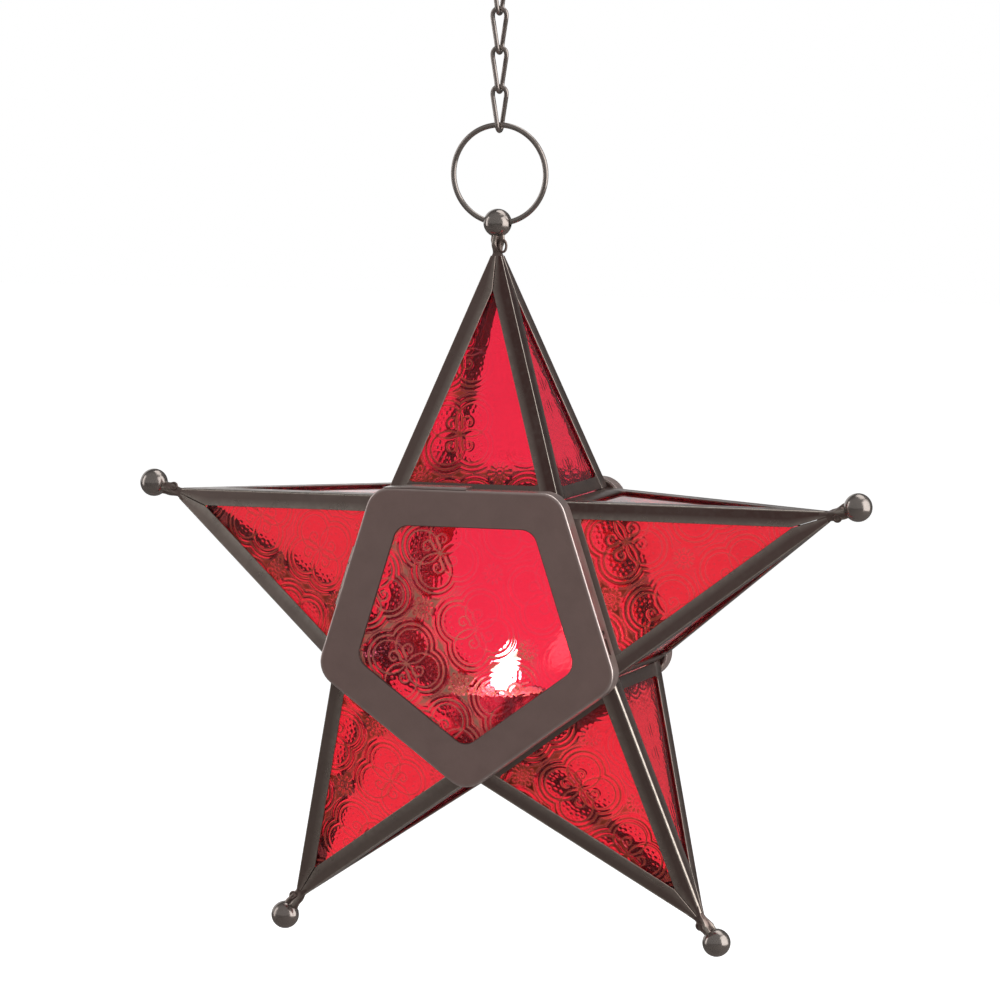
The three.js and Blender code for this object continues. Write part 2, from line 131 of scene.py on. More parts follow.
def loft(grid: Array, ring_rows: bool = False, wear: Array | None = None) -> Shell:
    """A surface through a grid of points whose rows are rings, capped at both ends or closed on itself.

    Args:
        grid: points of shape (rows, columns, 3).
        ring_rows: whether the last row joins the first.
        wear: the value of each point, of shape (rows, columns) or one that spreads to it.

    Returns:
        The closed shell, facing outwards.
    """
    rows, columns = grid.shape[:2]
    index = np.arange(rows * columns).reshape(rows, columns)
    below = index if ring_rows else index[:-1]
    above = np.roll(index, -1, axis=0) if ring_rows else index[1:]
    quads = np.stack([below, np.roll(below, -1, 1), np.roll(above, -1, 1), above], axis=-1)
    faces = [quads.reshape(-1, 4)]
    if not ring_rows:
        faces += [index[0][::-1][None, :], index[-1][None, :]]
    spread = None if wear is None else np.broadcast_to(wear, (rows, columns)).reshape(-1)
    return Shell(grid.reshape(-1, 3), faces, spread).outward()


def turned_z(points: Array, angle: float) -> Array:
    """Points turned about the upright axis by an angle in radians."""
    c, s = math.cos(angle), math.sin(angle)
    x, y, z = points[..., 0], points[..., 1], points[..., 2]
    return np.stack([c * x - s * y, s * x + c * y, z], axis=-1)


def turned_y(points: Array, angle: float) -> Array:
    """Points turned about the front-to-back axis by an angle in radians, +Z towards +X."""
    c, s = math.cos(angle), math.sin(angle)
    x, y, z = points[..., 0], points[..., 1], points[..., 2]
    return np.stack([c * x + s * z, y, -s * x + c * z], axis=-1)


def laid_across(points: Array) -> Array:
    """Points of an upright shape, laid so that its axis runs from left to right."""
    return turned_y(points, math.pi / 2)


def left_there(points: Array) -> Array:
    """Points left where they are."""
    return points


def unit(vectors: Array) -> Array:
    """Vectors cut to length one."""
    return vectors / np.linalg.norm(vectors, axis=-1, keepdims=True)


def wire(path: Array, radius: float, sides: int, aside: Array, closed: bool = True) -> Shell:
    """Round wire along a path, with domed ends where it is open.

    A point is the path's point plus the radius times (cosine a, sine a) along two directions square to the path.
    The first is the hint with its share along the path taken off, and the second is square to both.

    Args:
        path: points along the middle of the wire, (n, 3).
        radius: radius of the wire.
        sides: points round the wire.
        aside: a direction that is never along the path, (3,) or (n, 3).
        closed: whether the path's end joins its start.

    Returns:
        The wire's shell.
    """
    if closed:
        along = unit(np.roll(path, -1, axis=0) - np.roll(path, 1, axis=0))
    else:
        along = unit(np.gradient(path, axis=0))
    first = unit(aside - np.sum(aside * along, axis=-1, keepdims=True) * along)
    second = np.cross(along, first)
    size = np.full(len(path), radius)
    if not closed:
        dome = np.radians([80.0, 60.0, 35.0])
        start = path[0] - along[0] * radius * np.sin(dome)[:, None]
        end = path[-1] + along[-1] * radius * np.sin(dome[::-1])[:, None]
        path = np.concatenate([start, path, end])
        size = np.concatenate([radius * np.cos(dome), size, radius * np.cos(dome[::-1])])
        first, second = (np.pad(way, ((len(dome), len(dome)), (0, 0)), mode="edge") for way in (first, second))
    angle = around(sides)
    spokes = np.cos(angle)[:, None] * first[:, None, :] + np.sin(angle)[:, None] * second[:, None, :]
    return loft(path[:, None, :] + size[:, None, None] * spokes, ring_rows=closed)


def lathe(profile: Array, sides: int, ring: bool = False, wear: Array | None = None) -> Shell:
    """A profile of (radius, height) carried round the upright axis.

    A point is (r cos a, r sin a, h).

    Args:
        profile: points of the profile, (n, 2).
        sides: points round the axis.
        ring: whether the profile closes on itself, away from the axis.
        wear: the value of each profile point.

    Returns:
        The shell.
    """
    angle = around(sides)
    r, h = profile[:, 0][:, None], profile[:, 1][:, None]
    grid = np.stack([r * np.cos(angle), r * np.sin(angle), np.broadcast_to(h, (len(profile), sides))], axis=-1)
    return loft(grid, ring_rows=ring, wear=None if wear is None else wear[:, None])


def bevelled_box(low: Place, high: Place, edge: float) -> Shell:
    """A box with softened edges: outlines that step in by the edge at the bottom, the top and the corners."""
    (x0, y0, z0), (x1, y1, z1) = low, high
    heights = [(z0, edge), (z0 + edge, 0.0), (z1 - edge, 0.0), (z1, edge)]

    def outline(step: float) -> Array:
        """Eight points round the box, drawn in by a step."""
        a, b, c, d = x0 + step, x1 - step, y0 + step, y1 - step
        return np.array([(a + edge, c), (b - edge, c), (b, c + edge), (b, d - edge),
                         (b - edge, d), (a + edge, d), (a, d - edge), (a, c + edge)])

    return loft(np.stack([np.column_stack([outline(step), np.full(8, z)]) for z, step in heights]))


def mesh_of(name: str, shells: list[Shell], smooth: float) -> bpy.types.Mesh:
    """One mesh of several shells, in metres, with wear and tone attributes on its points.

    Args:
        name: the mesh's name.
        shells: its shells.
        smooth: faces that meet at less than this many degrees are shaded as one surface.

    Returns:
        The mesh.
    """
    starts = np.cumsum([0] + [len(shell.points) for shell in shells])
    points = np.concatenate([shell.points for shell in shells]) * MM
    blocks = [block + start for shell, start in zip(shells, starts) for block in shell.faces]
    corners = np.concatenate([block.reshape(-1) for block in blocks]).astype(np.int32)
    sizes = np.concatenate([np.full(len(block), block.shape[1]) for block in blocks])
    mesh = bpy.data.meshes.new(name)
    mesh.vertices.add(len(points))
    mesh.vertices.foreach_set("co", points.astype(np.float32).reshape(-1))
    mesh.loops.add(len(corners))
    mesh.loops.foreach_set("vertex_index", corners)
    mesh.polygons.add(len(sizes))
    mesh.polygons.foreach_set("loop_start", (np.cumsum(sizes) - sizes).astype(np.int32))
    mesh.update(calc_edges=True)
    mesh.validate()
    wear = np.concatenate([np.zeros(len(shell.points)) if shell.wear is None else shell.wear for shell in shells])
    tone = np.concatenate([np.full(len(shell.points), shell.tone) for shell in shells])
    for label, values in (("wear", wear), ("tone", tone)):
        mesh.attributes.new(label, "FLOAT", "POINT").data.foreach_set("value", values.astype(np.float32))
    shade(mesh, smooth)
    return mesh


def shade(mesh: bpy.types.Mesh, smooth: float) -> None:
    """Shades faces that meet at less than so many degrees as one surface."""
    mesh.shade_smooth()
    mesh.set_sharp_from_angle(angle=math.radians(smooth))


# Finishes


class Nodes:
    """Short calls that add nodes to a material or a world."""

    def __init__(self, tree: bpy.types.NodeTree) -> None:
        """Empties the tree and keeps it."""
        self.tree = tree
        tree.nodes.clear()

    def add(self, kind: str, **values: object) -> bpy.types.Node:
        """Adds a node.

        Args:
            kind: the node's type.
            values: a property of the node, or an input socket's value or the output socket that feeds it. An
                underscore in a socket's name stands for a space.

        Returns:
            The node.
        """
        node = self.tree.nodes.new(kind)
        for key, value in values.items():
            name = key.replace("_", " ")
            if name in node.inputs:
                self.feed(node.inputs[name], value)
            else:
                setattr(node, key, value)
        return node

    def feed(self, socket: Socket, value: object) -> None:
        """Links an output to a socket, or sets the socket's own value."""
        if isinstance(value, bpy.types.NodeSocket):
            self.tree.links.new(value, socket)
        elif isinstance(value, tuple) and len(value) == 3 and socket.type == "RGBA":
            socket.default_value = (*value, 1.0)
        else:
            socket.default_value = value

    def where(self) -> Socket:
        """The place on the object, in metres."""
        return self.add("ShaderNodeTexCoord").outputs["Object"]

    def own(self, attribute: str) -> Socket:
        """A value that the mesh's points carry."""
        return self.add("ShaderNodeAttribute", attribute_name=attribute).outputs["Fac"]

    def noise(self, scale: float, detail: float = 3.0) -> Socket:
        """Noise over the object, scale in lumps per metre."""
        node = self.add("ShaderNodeTexNoise", Vector=self.where(), Scale=scale, Detail=detail, Roughness=0.55)
        return node.outputs["Fac"]

    def uneven(self, scale: float, low: float, high: float, detail: float = 3.0) -> Socket:
        """Noise brought to a range: its own values lie mostly between 0.3 and 0.7."""
        return self.span(self.noise(scale, detail), 0.3, 0.7, low, high)

    def ramp(self, value: Socket, *stops: tuple[float, Colour]) -> Socket:
        """A colour ramp over a value."""
        node = self.add("ShaderNodeValToRGB", Fac=value)
        elements = node.color_ramp.elements
        elements[0].position, elements[0].color = stops[0][0], (*stops[0][1], 1.0)
        elements[1].position, elements[1].color = stops[-1][0], (*stops[-1][1], 1.0)
        for position, colour in stops[1:-1]:
            elements.new(position).color = (*colour, 1.0)
        return node.outputs["Color"]

    def span(self, value: Socket, low: float, high: float, to_low: float, to_high: float) -> Socket:
        """A value's range moved to another range, and held inside it."""
        node = self.add("ShaderNodeMapRange", Value=value, From_Min=low, From_Max=high, To_Min=to_low,
                        To_Max=to_high)
        return node.outputs["Result"]

    def paired(self, kind: str, a: object, b: object, **values: object) -> bpy.types.Node:
        """A node whose first two inputs have the same name."""
        node = self.add(kind, **values)
        self.feed(node.inputs[0], a)
        self.feed(node.inputs[1], b)
        return node

    def maths(self, operation: str, a: object, b: object) -> Socket:
        """Arithmetic on two values."""
        return self.paired("ShaderNodeMath", a, b, operation=operation).outputs["Value"]

    def blend(self, share: object, a: object, b: object) -> Socket:
        """Two colours mixed; the node's sixth and seventh inputs and its second output are its colours."""
        node = self.add("ShaderNodeMix", data_type="RGBA")
        self.feed(node.inputs["Factor"], share)
        self.feed(node.inputs[6], a)
        self.feed(node.inputs[7], b)
        return node.outputs[2]

    def choice(self, share: object, a: object, b: object) -> Socket:
        """Two values mixed; the node's second and third inputs and its first output are its values."""
        node = self.add("ShaderNodeMix", Factor=share)
        self.feed(node.inputs[2], a)
        self.feed(node.inputs[3], b)
        return node.outputs[0]

    def bump(self, height: Socket, strength: float, depth: float) -> Socket:
        """A surface normal from a height, its depth in metres."""
        return self.add("ShaderNodeBump", Height=height, Strength=strength, Distance=depth).outputs["Normal"]

    def surface(self, **values: object) -> None:
        """The main shader, joined to the output."""
        shader = self.add("ShaderNodeBsdfPrincipled", **values)
        self.add("ShaderNodeOutputMaterial", Surface=shader.outputs[0])


@dataclass(frozen=True)
class Finish:
    """A named finish; each kind makes its own material once."""

    label: str

    def dress(self, nodes: Nodes) -> None:
        """Builds the finish's nodes."""
        raise NotImplementedError

    def material(self) -> bpy.types.Material:
        """The finish's material, made on first use."""
        found = bpy.data.materials.get(self.label)
        if found is None:
            found = bpy.data.materials.new(self.label)
            found.use_nodes = True
            self.dress(Nodes(found.node_tree))
        return found


@dataclass(frozen=True)
class Bronze(Finish):
    """Satin bronze: mottled and warmer in places, bright along its folds from rubbing and painted highlight, and
    darkened by painted shadow where the wear is below zero.

    Args:
        cool: its colour where the tone is 0.
        warm: its colour where the tone is 1.
        rubbed_and_highlight: its colour where the wear is 1: rubbing, painted highlight on the folds and edges,
            and painted light inside.
        roughness: how dull it is.
        mottle: how strongly the fine dark mottle shows.
        shade: how much of the cool colour the mottle keeps.
        painted_shadow: how much of the cool colour the painted shadow keeps.
        polish: how much smoother the metal is where the wear is high.
    """

    cool: Colour
    warm: Colour
    rubbed_and_highlight: Colour
    roughness: float = 0.38
    mottle: float = 0.4
    shade: float = 0.72
    painted_shadow: float = 0.2
    polish: float = 0.14

    def darkened(self, share: float) -> Colour:
        """A share of the cool colour."""
        return tuple(share * c for c in self.cool)

    def dress(self, nodes: Nodes) -> None:
        """The tone attribute, which on the front strips paints lighter and darker reflections, and broad patches
        between two colours, a fine mottle, and the wear attribute for the folds.

        Above zero it brightens: rubbing, painted highlight on folds and edges, and painted light inside. Below
        zero it is painted shadow.
        """
        tone = nodes.maths("ADD", nodes.own("tone"), nodes.uneven(16.0, -0.1, 0.1, detail=2.0))
        fine = nodes.noise(420.0, detail=4.0)
        wear = nodes.own("wear")
        colour = nodes.ramp(tone, (0.0, self.cool), (1.0, self.warm))
        colour = nodes.blend(nodes.span(fine, 0.45, 0.8, 0.0, self.mottle), colour, self.darkened(self.shade))
        # Above zero the colour goes to the brightest one: rubbing, painted highlight on folds and edges, and
        # painted light inside.
        rubbed_and_highlight = nodes.maths("MULTIPLY", wear, nodes.span(fine, 0.3, 0.6, 1.0, 1.0 - self.mottle))
        colour = nodes.blend(rubbed_and_highlight, colour, self.rubbed_and_highlight)
        # Below zero it darkens: a painted shadow round the windows.
        colour = nodes.blend(nodes.span(wear, -1.0, 0.0, 0.9, 0.0), colour, self.darkened(self.painted_shadow))
        rough = nodes.uneven(150.0, self.roughness - 0.05, self.roughness + 0.09)
        rough = nodes.maths("SUBTRACT", rough, nodes.maths("MULTIPLY", wear, self.polish))
        grain = nodes.bump(nodes.noise(900.0, detail=5.0), strength=0.22, depth=0.00012)
        nodes.surface(Base_Color=colour, Metallic=0.9, Roughness=rough, Normal=grain)


@dataclass(frozen=True)
class RedGlass(Finish):
    """Clear red glass, brown to nearly black where the pressed lines are, a painted shade for the dark that the
    relief refracts.

    Args:
        clear: its colour between the lines.
        pink: its colour there where the tone is 1.
        brown: its colour on a faint line, a painted shade.
        deep: its colour on a full line, a painted shade.
        veil: how clear a full line still is.
        glint: the tint of its reflections.
    """

    clear: Colour = (0.88, 0.14, 0.19)
    pink: Colour = (0.92, 0.13, 0.225)
    brown: Colour = (0.5, 0.075, 0.05)
    deep: Colour = (0.05, 0.009, 0.004)
    veil: float = 0.12
    glint: Colour = (0.5, 0.36, 0.3)

    def dress(self, nodes: Nodes) -> None:
        """Colour and clearness from the wear attribute, which holds the painted shade of the pressed lines, and a
        faint uneven gloss.

        The tone attribute turns clear glass pinker above a half.
        """
        lines = nodes.maths("MULTIPLY", nodes.own("wear"), nodes.uneven(60.0, 0.8, 1.1))
        colour = nodes.ramp(nodes.own("tone"), (0.5, self.clear), (1.0, self.pink))
        # The brown and deep colours are painted shade: the dark that refraction through the relief shows, painted
        # onto the lines.
        colour = nodes.blend(nodes.span(lines, 0.0, 0.5, 0.0, 1.0), colour, self.brown)
        colour = nodes.blend(nodes.span(lines, 0.5, 1.0, 0.0, 1.0), colour, self.deep)
        nodes.surface(Base_Color=colour, Roughness=nodes.uneven(240.0, 0.01, 0.05), IOR=1.5,
                      Specular_IOR_Level=0.15, Specular_Tint=self.glint,
                      Transmission_Weight=nodes.span(lines, 0.0, 1.0, 0.98, self.veil))


@dataclass(frozen=True)
class Tin(Finish):
    """Thin pressed tin, bright, with fine drawing marks."""

    dull: Colour = (0.72, 0.73, 0.74)
    bright: Colour = (0.88, 0.89, 0.9)

    def dress(self, nodes: Nodes) -> None:
        """Grey metal with streaked roughness."""
        nodes.surface(Base_Color=nodes.ramp(nodes.noise(300.0, detail=4.0), (0.3, self.dull), (0.7, self.bright)),
                      Metallic=1.0, Roughness=nodes.uneven(700.0, 0.16, 0.3),
                      Normal=nodes.bump(nodes.noise(500.0), strength=0.2, depth=0.0002))


@dataclass(frozen=True)
class Wax(Finish):
    """White wax that lets a little light through, softer round the flame."""

    yellow: Colour = (0.82, 0.78, 0.68)
    white: Colour = (0.9, 0.88, 0.8)

    def dress(self, nodes: Nodes) -> None:
        """Cloudy off-white with subsurface light."""
        nodes.surface(Base_Color=nodes.ramp(nodes.noise(180.0, detail=4.0), (0.3, self.yellow), (0.7, self.white)),
                      Roughness=nodes.uneven(90.0, 0.3, 0.5), Subsurface_Weight=0.35, Subsurface_Scale=0.004,
                      Normal=nodes.bump(nodes.noise(350.0), strength=0.15, depth=0.0003))


@dataclass(frozen=True)
class Charred(Finish):
    """Charred cotton: black with grey ash."""

    black: Colour = (0.012, 0.01, 0.009)
    ash: Colour = (0.12, 0.1, 0.09)

    def dress(self, nodes: Nodes) -> None:
        """Black and grey patches with a rough nap."""
        nodes.surface(Base_Color=nodes.ramp(nodes.noise(2500.0, detail=5.0), (0.4, self.black), (0.75, self.ash)),
                      Roughness=0.95, Normal=nodes.bump(nodes.noise(3500.0), strength=0.6, depth=0.0002))


@dataclass(frozen=True)
class Flame(Finish):
    """A candle flame: near white in the middle, warmer at the foot and the tip, whose heights are in metres."""

    strength: float = 24.0
    foot: float = -0.3370
    tip: float = -0.3190

    def dress(self, nodes: Nodes) -> None:
        """Colour by height along the flame."""
        height = nodes.add("ShaderNodeSeparateXYZ", Vector=nodes.where()).outputs["Z"]
        share = nodes.span(height, self.foot, self.tip, 0.0, 1.0)
        colour = nodes.ramp(share, (0.0, (1.0, 0.84, 0.62)), (0.4, (1.0, 0.95, 0.8)), (1.0, (1.0, 0.85, 0.6)))
        nodes.surface(Base_Color=(0.0, 0.0, 0.0), Roughness=1.0, Emission_Color=colour,
                      Emission_Strength=self.strength)


# Strip bronze runs from a lighter grey at tone 0 to a dark brown at tone 1, lit and shaded copies of one bronze
# that paint the front strips' reflections; the back strips take a random tone.
STRIP = Bronze("strip_bronze", cool=(0.22, 0.174, 0.153), warm=(0.084, 0.045, 0.04),
               rubbed_and_highlight=(0.6, 0.55, 0.48), roughness=0.32)
# The plate's brightest colour is rubbing and painted highlight on the folds and rims, and painted light on the
# insides.
PLATE = Bronze("plate_bronze", cool=(0.33, 0.234, 0.213), warm=(0.34, 0.232, 0.213),
               rubbed_and_highlight=(0.9, 0.86, 0.82), mottle=0.15)
WIRE = Bronze("wire_bronze", cool=(0.25, 0.232, 0.21), warm=(0.27, 0.215, 0.2),
              rubbed_and_highlight=(0.6, 0.55, 0.5), roughness=0.2)
BRIGHT = Bronze("bright_bronze", cool=(0.84, 0.78, 0.7), warm=(0.86, 0.78, 0.69),
                rubbed_and_highlight=(0.9, 0.86, 0.82), roughness=0.28)
# The glass's brown and deep colours are painted shade on the pressed lines.
GLASS = RedGlass("spike_red_glass")
DOOR_GLASS = RedGlass("cover_red_glass", clear=(0.94, 0.15, 0.24), brown=(0.6, 0.16, 0.12),
                      deep=(0.21, 0.12, 0.085), veil=0.15)
TIN = Tin("tealight_tin")
WAX = Wax("white_wax")
CHAR = Charred("charred_wick")
FIRE = Flame("candle_flame")


# The star's plan


class Named(Enum):
    """An option whose name stands in the names of pieces."""

    @property
    def label(self) -> str:
        """The option's name in small letters."""
        return self.name.lower()


class Side(Named):
    """The four faces of a spike, in quarter turns about its own axis."""

    FRONT = 0
    RIGHT = 1
    BACK = 2
    LEFT = 3

    @property
    def broad(self) -> bool:
        """Whether it is a front or back face, which lie across the star."""
        return self in (Side.FRONT, Side.BACK)


class Spike(Named):
    """The five spikes, clockwise from the top as seen from the front."""

    TOP = 0
    RIGHT = 1
    LOWER_RIGHT = 2
    LOWER_LEFT = 3
    LEFT = 4

    @property
    def turn(self) -> float:
        """The angle that brings an upright spike to its place."""
        return fifths(self.value)

    @property
    def upper(self) -> Side | None:
        """The side face that looks up when the spike lies nearly level."""
        return {Spike.RIGHT: Side.LEFT, Spike.LEFT: Side.RIGHT}.get(self)

    def placed(self, points: Array) -> Array:
        """Points of the upright spike, put at its place in the star."""
        return PLAN.placed(points, self.turn)


@dataclass(frozen=True)
class Face:
    """One sloping face of a spike.

    Args:
        half: half its width at the foot.
        offset: how far its foot stands from the spike's axis.
        slant: its length, up the slope, to the point where the ridges would meet.
    """

    half: float
    offset: float
    slant: float

    @property
    def lean(self) -> float:
        """The angle between its middle line and its ridges."""
        return math.atan(self.half / self.slant)


@dataclass(frozen=True)
class StarPlan:
    """Sizes that several pieces share, the same as the solids'."""

    tip_reach: float = 152.4
    apex_short: float = 6.4
    valley_reach: float = 60.1
    body_depth: float = 58.6
    centre: Place = (-0.8, 0.0, -310.733)
    gap: float = 0.3
    sheet: float = 0.8
    ball_radius: float = 5.5
    neck_foot: float = 4.0
    neck_head: float = 5.4
    cover_past: float = 3.6
    flange: float = 6.5
    front_strip: float = 5.5
    side_strip: float = 5.0
    upper_strip: float = 9.0
    pane: float = 2.2
    collar_inset: float = 0.3
    collar_wall: float = 0.8

    @property
    def base_reach(self) -> float:
        """Star's middle to the foot of a spike."""
        return self.valley_reach * math.cos(fifths(0.5))

    @property
    def half_width(self) -> float:
        """Half a spike's width at its foot."""
        return self.valley_reach * math.sin(fifths(0.5)) - self.gap / 2

    @property
    def half_depth(self) -> float:
        """Half a spike's depth at its foot."""
        return self.body_depth / 2

    @property
    def apex(self) -> float:
        """Reach at which the ridges of a spike would meet."""
        return self.tip_reach - self.apex_short

    @property
    def rise(self) -> float:
        """Foot of a spike to the point where its ridges would meet."""
        return self.apex - self.base_reach

    @property
    def neck_start(self) -> float:
        """Reach at which a spike goes over into its neck."""
        return self.apex - self.rise * (self.neck_foot / 2) / self.half_depth

    @property
    def collar_reach(self) -> float:
        """Star's middle to the inner side of a collar."""
        return self.base_reach - self.collar_inset - self.collar_wall

    def halves(self, z: Array) -> tuple[Array, Array]:
        """Half width and half depth of a spike at a reach: the foot's, shrunk in a straight line to the apex."""
        share = (self.apex - z) / self.rise
        return self.half_width * share, self.half_depth * share

    def face(self, side: Side) -> Face:
        """The sizes of one face of a spike."""
        half, offset = self.half_width, self.half_depth
        if not side.broad:
            half, offset = offset, half
        return Face(half, offset, math.hypot(self.rise, offset))

    def strip(self, spike: Spike, side: Side) -> float:
        """Height of the strip across the foot of a face; it is tall where the face looks up."""
        if side.broad:
            return self.front_strip
        return self.upper_strip if side is spike.upper else self.side_strip

    def on_face(self, grid: Array, side: Side) -> Array:
        """Points given along a face's foot, up its slope and out of it, as points of the upright spike."""
        face = self.face(side)
        s, q, n = grid[..., 0], grid[..., 1], grid[..., 2]
        y = -face.offset + q * face.offset / face.slant - n * self.rise / face.slant
        z = self.base_reach + q * self.rise / face.slant + n * face.offset / face.slant
        return turned_z(np.stack([s, y, z], axis=-1), math.pi / 2 * side.value)

    def placed(self, points: Array, turn: float = 0.0) -> Array:
        """Points of an upright spike or of the star's middle, turned and put at the star's place."""
        return turned_y(points, turn) + np.array(self.centre)

    def behind(self, points: Array) -> Array:
        """Points of something in front of the star's middle, put at the same place behind it."""
        return self.placed(turned_z(points, math.pi))


PLAN = StarPlan()


class Build:
    """Turns shells into pieces that ride on a body, stand for solids and carry a finish."""

    def __init__(self) -> None:
        """Starts with no pieces."""
        self.count = 0

    def add(self, name: str, shells: list[Shell], finish: Finish, body: str, nodes: list[str],
            slot: str = "bronze", put: Move = PLAN.placed, smooth: float = 35.0,
            cutters: list[Shell] | None = None) -> None:
        """Makes one piece.

        Args:
            name: the piece's name.
            shells: its closed shells.
            finish: its finish.
            body: the body that it rides on.
            nodes: the solids that it stands for.
            slot: a material slot's name, which is not used.
            put: what brings the shells and the cutters to their place.
            smooth: the angle under which faces are shaded as one surface, in degrees.
            cutters: closed shells to take away from it.
        """
        piece = bpy.data.objects.new(name, mesh_of(name, [shell.moved(put) for shell in shells], smooth))
        bpy.context.collection.objects.link(piece)
        if cutters:
            self.cut(piece, [cutter.moved(put) for cutter in cutters], smooth)
        piece.data.materials.append(finish.material())
        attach(piece, body)
        if nodes:
            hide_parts(*nodes)
        self.count += 1
        LOG.info("%s: %d faces on %s", name, len(piece.data.polygons), body)

    @staticmethod
    def cut(piece: bpy.types.Object, cutters: list[Shell], smooth: float) -> None:
        """Takes closed shells away from a piece and keeps the result as its mesh."""
        tool = bpy.data.objects.new("cutter", mesh_of("cutter", cutters, smooth))
        bpy.context.collection.objects.link(tool)
        change = piece.modifiers.new("cut", "BOOLEAN")
        change.operation, change.solver, change.object = "DIFFERENCE", "EXACT", tool
        graph = bpy.context.evaluated_depsgraph_get()
        piece.data = bpy.data.meshes.new_from_object(piece.evaluated_get(graph))
        piece.modifiers.clear()
        shade(piece.data, smooth)
        bpy.data.objects.remove(tool)


# Pressed glass


@dataclass(frozen=True)
class PressedPattern:
    """A traditional pressed pattern: four-lobed medallions in a square lattice, with a daisy between each four.

    Args:
        pitch: one medallion's middle to the next.
        lobe: a medallion's middle to the middle of a lobe, along each axis.
        ring: radius of a lobe's middle circle.
        circle_gap: one of a lobe's three circles to the next.
        bead: one row of beads to the next.
        petal: a daisy's middle to the middle of its petals.
        daisy: radius of the room that a daisy keeps.
        leaf_length: length of a leaf.
        leaf_width: half its width.
        scroll: a scroll's middle, across and up from the medallion's.
        open_middle: radius round a medallion's middle in which the circles are left out.
    """

    pitch: float = 32.0
    lobe: float = 5.3
    ring: float = 8.3
    circle_gap: float = 1.9
    bead: float = 1.8
    petal: float = 3.3
    daisy: float = 5.4
    leaf_length: float = 9.5
    leaf_width: float = 1.4
    scroll: tuple[float, float] = (3.4, 4.4)
    open_middle: float = 8.0

    @staticmethod
    def line(distance: Array, width: float) -> Array:
        """A raised line: a bell curve of the distance from it."""
        return np.exp(-((distance / width) ** 2))

    @staticmethod
    def room(distance: Array, blur: float) -> Array:
        """Nearly 1 where the distance is below zero and nearly 0 above it."""
        return 1 / (1 + np.exp(np.clip(distance / blur, -40, 40)))

    def circles(self, x: Array, y: Array, edge: Array) -> Array:
        """Three raised lines round a lobe, of which the part near the medallion's middle is left out."""
        lines = (self.line(edge, 0.55) + 0.85 * self.line(edge + self.circle_gap, 0.48)
                 + 0.8 * self.line(edge - self.circle_gap, 0.5))
        return lines * self.room(self.open_middle - np.hypot(x, y), 0.3)

    def leaf(self, x: Array, y: Array) -> tuple[Array, Array]:
        """A leaf along each axis: a raised line whose distance from the axis is a half sine of the place along it.

        Returns:
            The raised line, and how far a place lies outside the leaf.
        """
        near, far = np.minimum(x, y), np.maximum(x, y)
        outside = near - self.leaf_width * np.sin(np.pi * np.clip(far / self.leaf_length, 0, 1))
        return self.line(outside, 0.45) * self.room(far - self.leaf_length + 0.2, 0.15), outside

    def flower(self, x: Array, y: Array) -> tuple[Array, Array]:
        """The daisy: a cosine of six turns times a ring-shaped bell curve, with a dome and a ring at its heart.

        Returns:
            Its height, and nearly 1 in its room and nearly 0 outside it.
        """
        half = self.pitch / 2
        from_daisy, turn = np.hypot(half - x, half - y), np.arctan2(half - y, half - x)
        petals = np.abs(np.cos(6 * turn)) ** 0.8 * self.line(from_daisy - self.petal, 1.5)
        heart = 0.9 * self.line(from_daisy, 0.8) + 0.6 * self.line(from_daisy - 1.6, 0.35)
        return petals + heart, self.room(from_daisy - self.daisy, 0.2)

    def beads(self, rho: Array, turn: Array) -> Array:
        """Rows of beads round a lobe's middle: a bell curve across each row times a cosine along it."""
        row = np.round(rho / self.bead)
        count = np.maximum(1, np.round(1.6 * np.pi * row))
        return self.line(rho - row * self.bead, 0.6) * (0.5 + 0.5 * np.cos(count * turn + row)) ** 1.4

    def height(self, u: Array, v: Array) -> tuple[Array, Array]:
        """Height of the relief at places on the sheet, and the ground between the medallions.

        The place is folded into one quarter of a medallion. Three raised circles stand round the lobe there, rows
        of beads fill it, a spiral line winds near the medallion's middle, and half a leaf lies along each axis.
        The daisy takes the corner.

        Args:
            u: place across the sheet from a medallion's middle, in millimetres.
            v: place up the sheet from it, in millimetres.

        Returns:
            The height at each place, from 0 to about 1, and 1 on the ground, 0 elsewhere.
        """
        half = self.pitch / 2
        x = np.abs(np.mod(u + half, self.pitch) - half)
        y = np.abs(np.mod(v + half, self.pitch) - half)
        rho, turn = np.hypot(x - self.lobe, y - self.lobe), np.arctan2(y - self.lobe, x - self.lobe)
        edge = rho - self.ring
        over, up = x - self.scroll[0], y - self.scroll[1]
        from_scroll = np.hypot(over, up)
        winding = 1.1 + 1.7 * np.mod(np.arctan2(up, over) + 2.2, 2 * np.pi) / (2 * np.pi)
        scroll = self.line(from_scroll - winding, 0.48) * self.room(from_scroll - 3.2, 0.12)
        scroll = scroll + self.line(from_scroll, 0.6)
        leaf, outside = self.leaf(x, y)
        beads = self.beads(rho, turn) * self.room(edge + 2.6, 0.2) * self.room(3.8 - from_scroll, 0.2)
        beads = beads * self.room(0.8 - outside, 0.15)
        flower, daisy = self.flower(x, y)
        medallion = self.circles(x, y, edge) + 0.8 * beads + 0.9 * scroll + 0.9 * leaf
        height = medallion * (1 - daisy) + flower * daisy
        ground = self.room(2.5 - edge, 0.12) * self.room(np.minimum(flower, 1) * daisy - 0.35, 0.05)
        return height / 1.4, ground


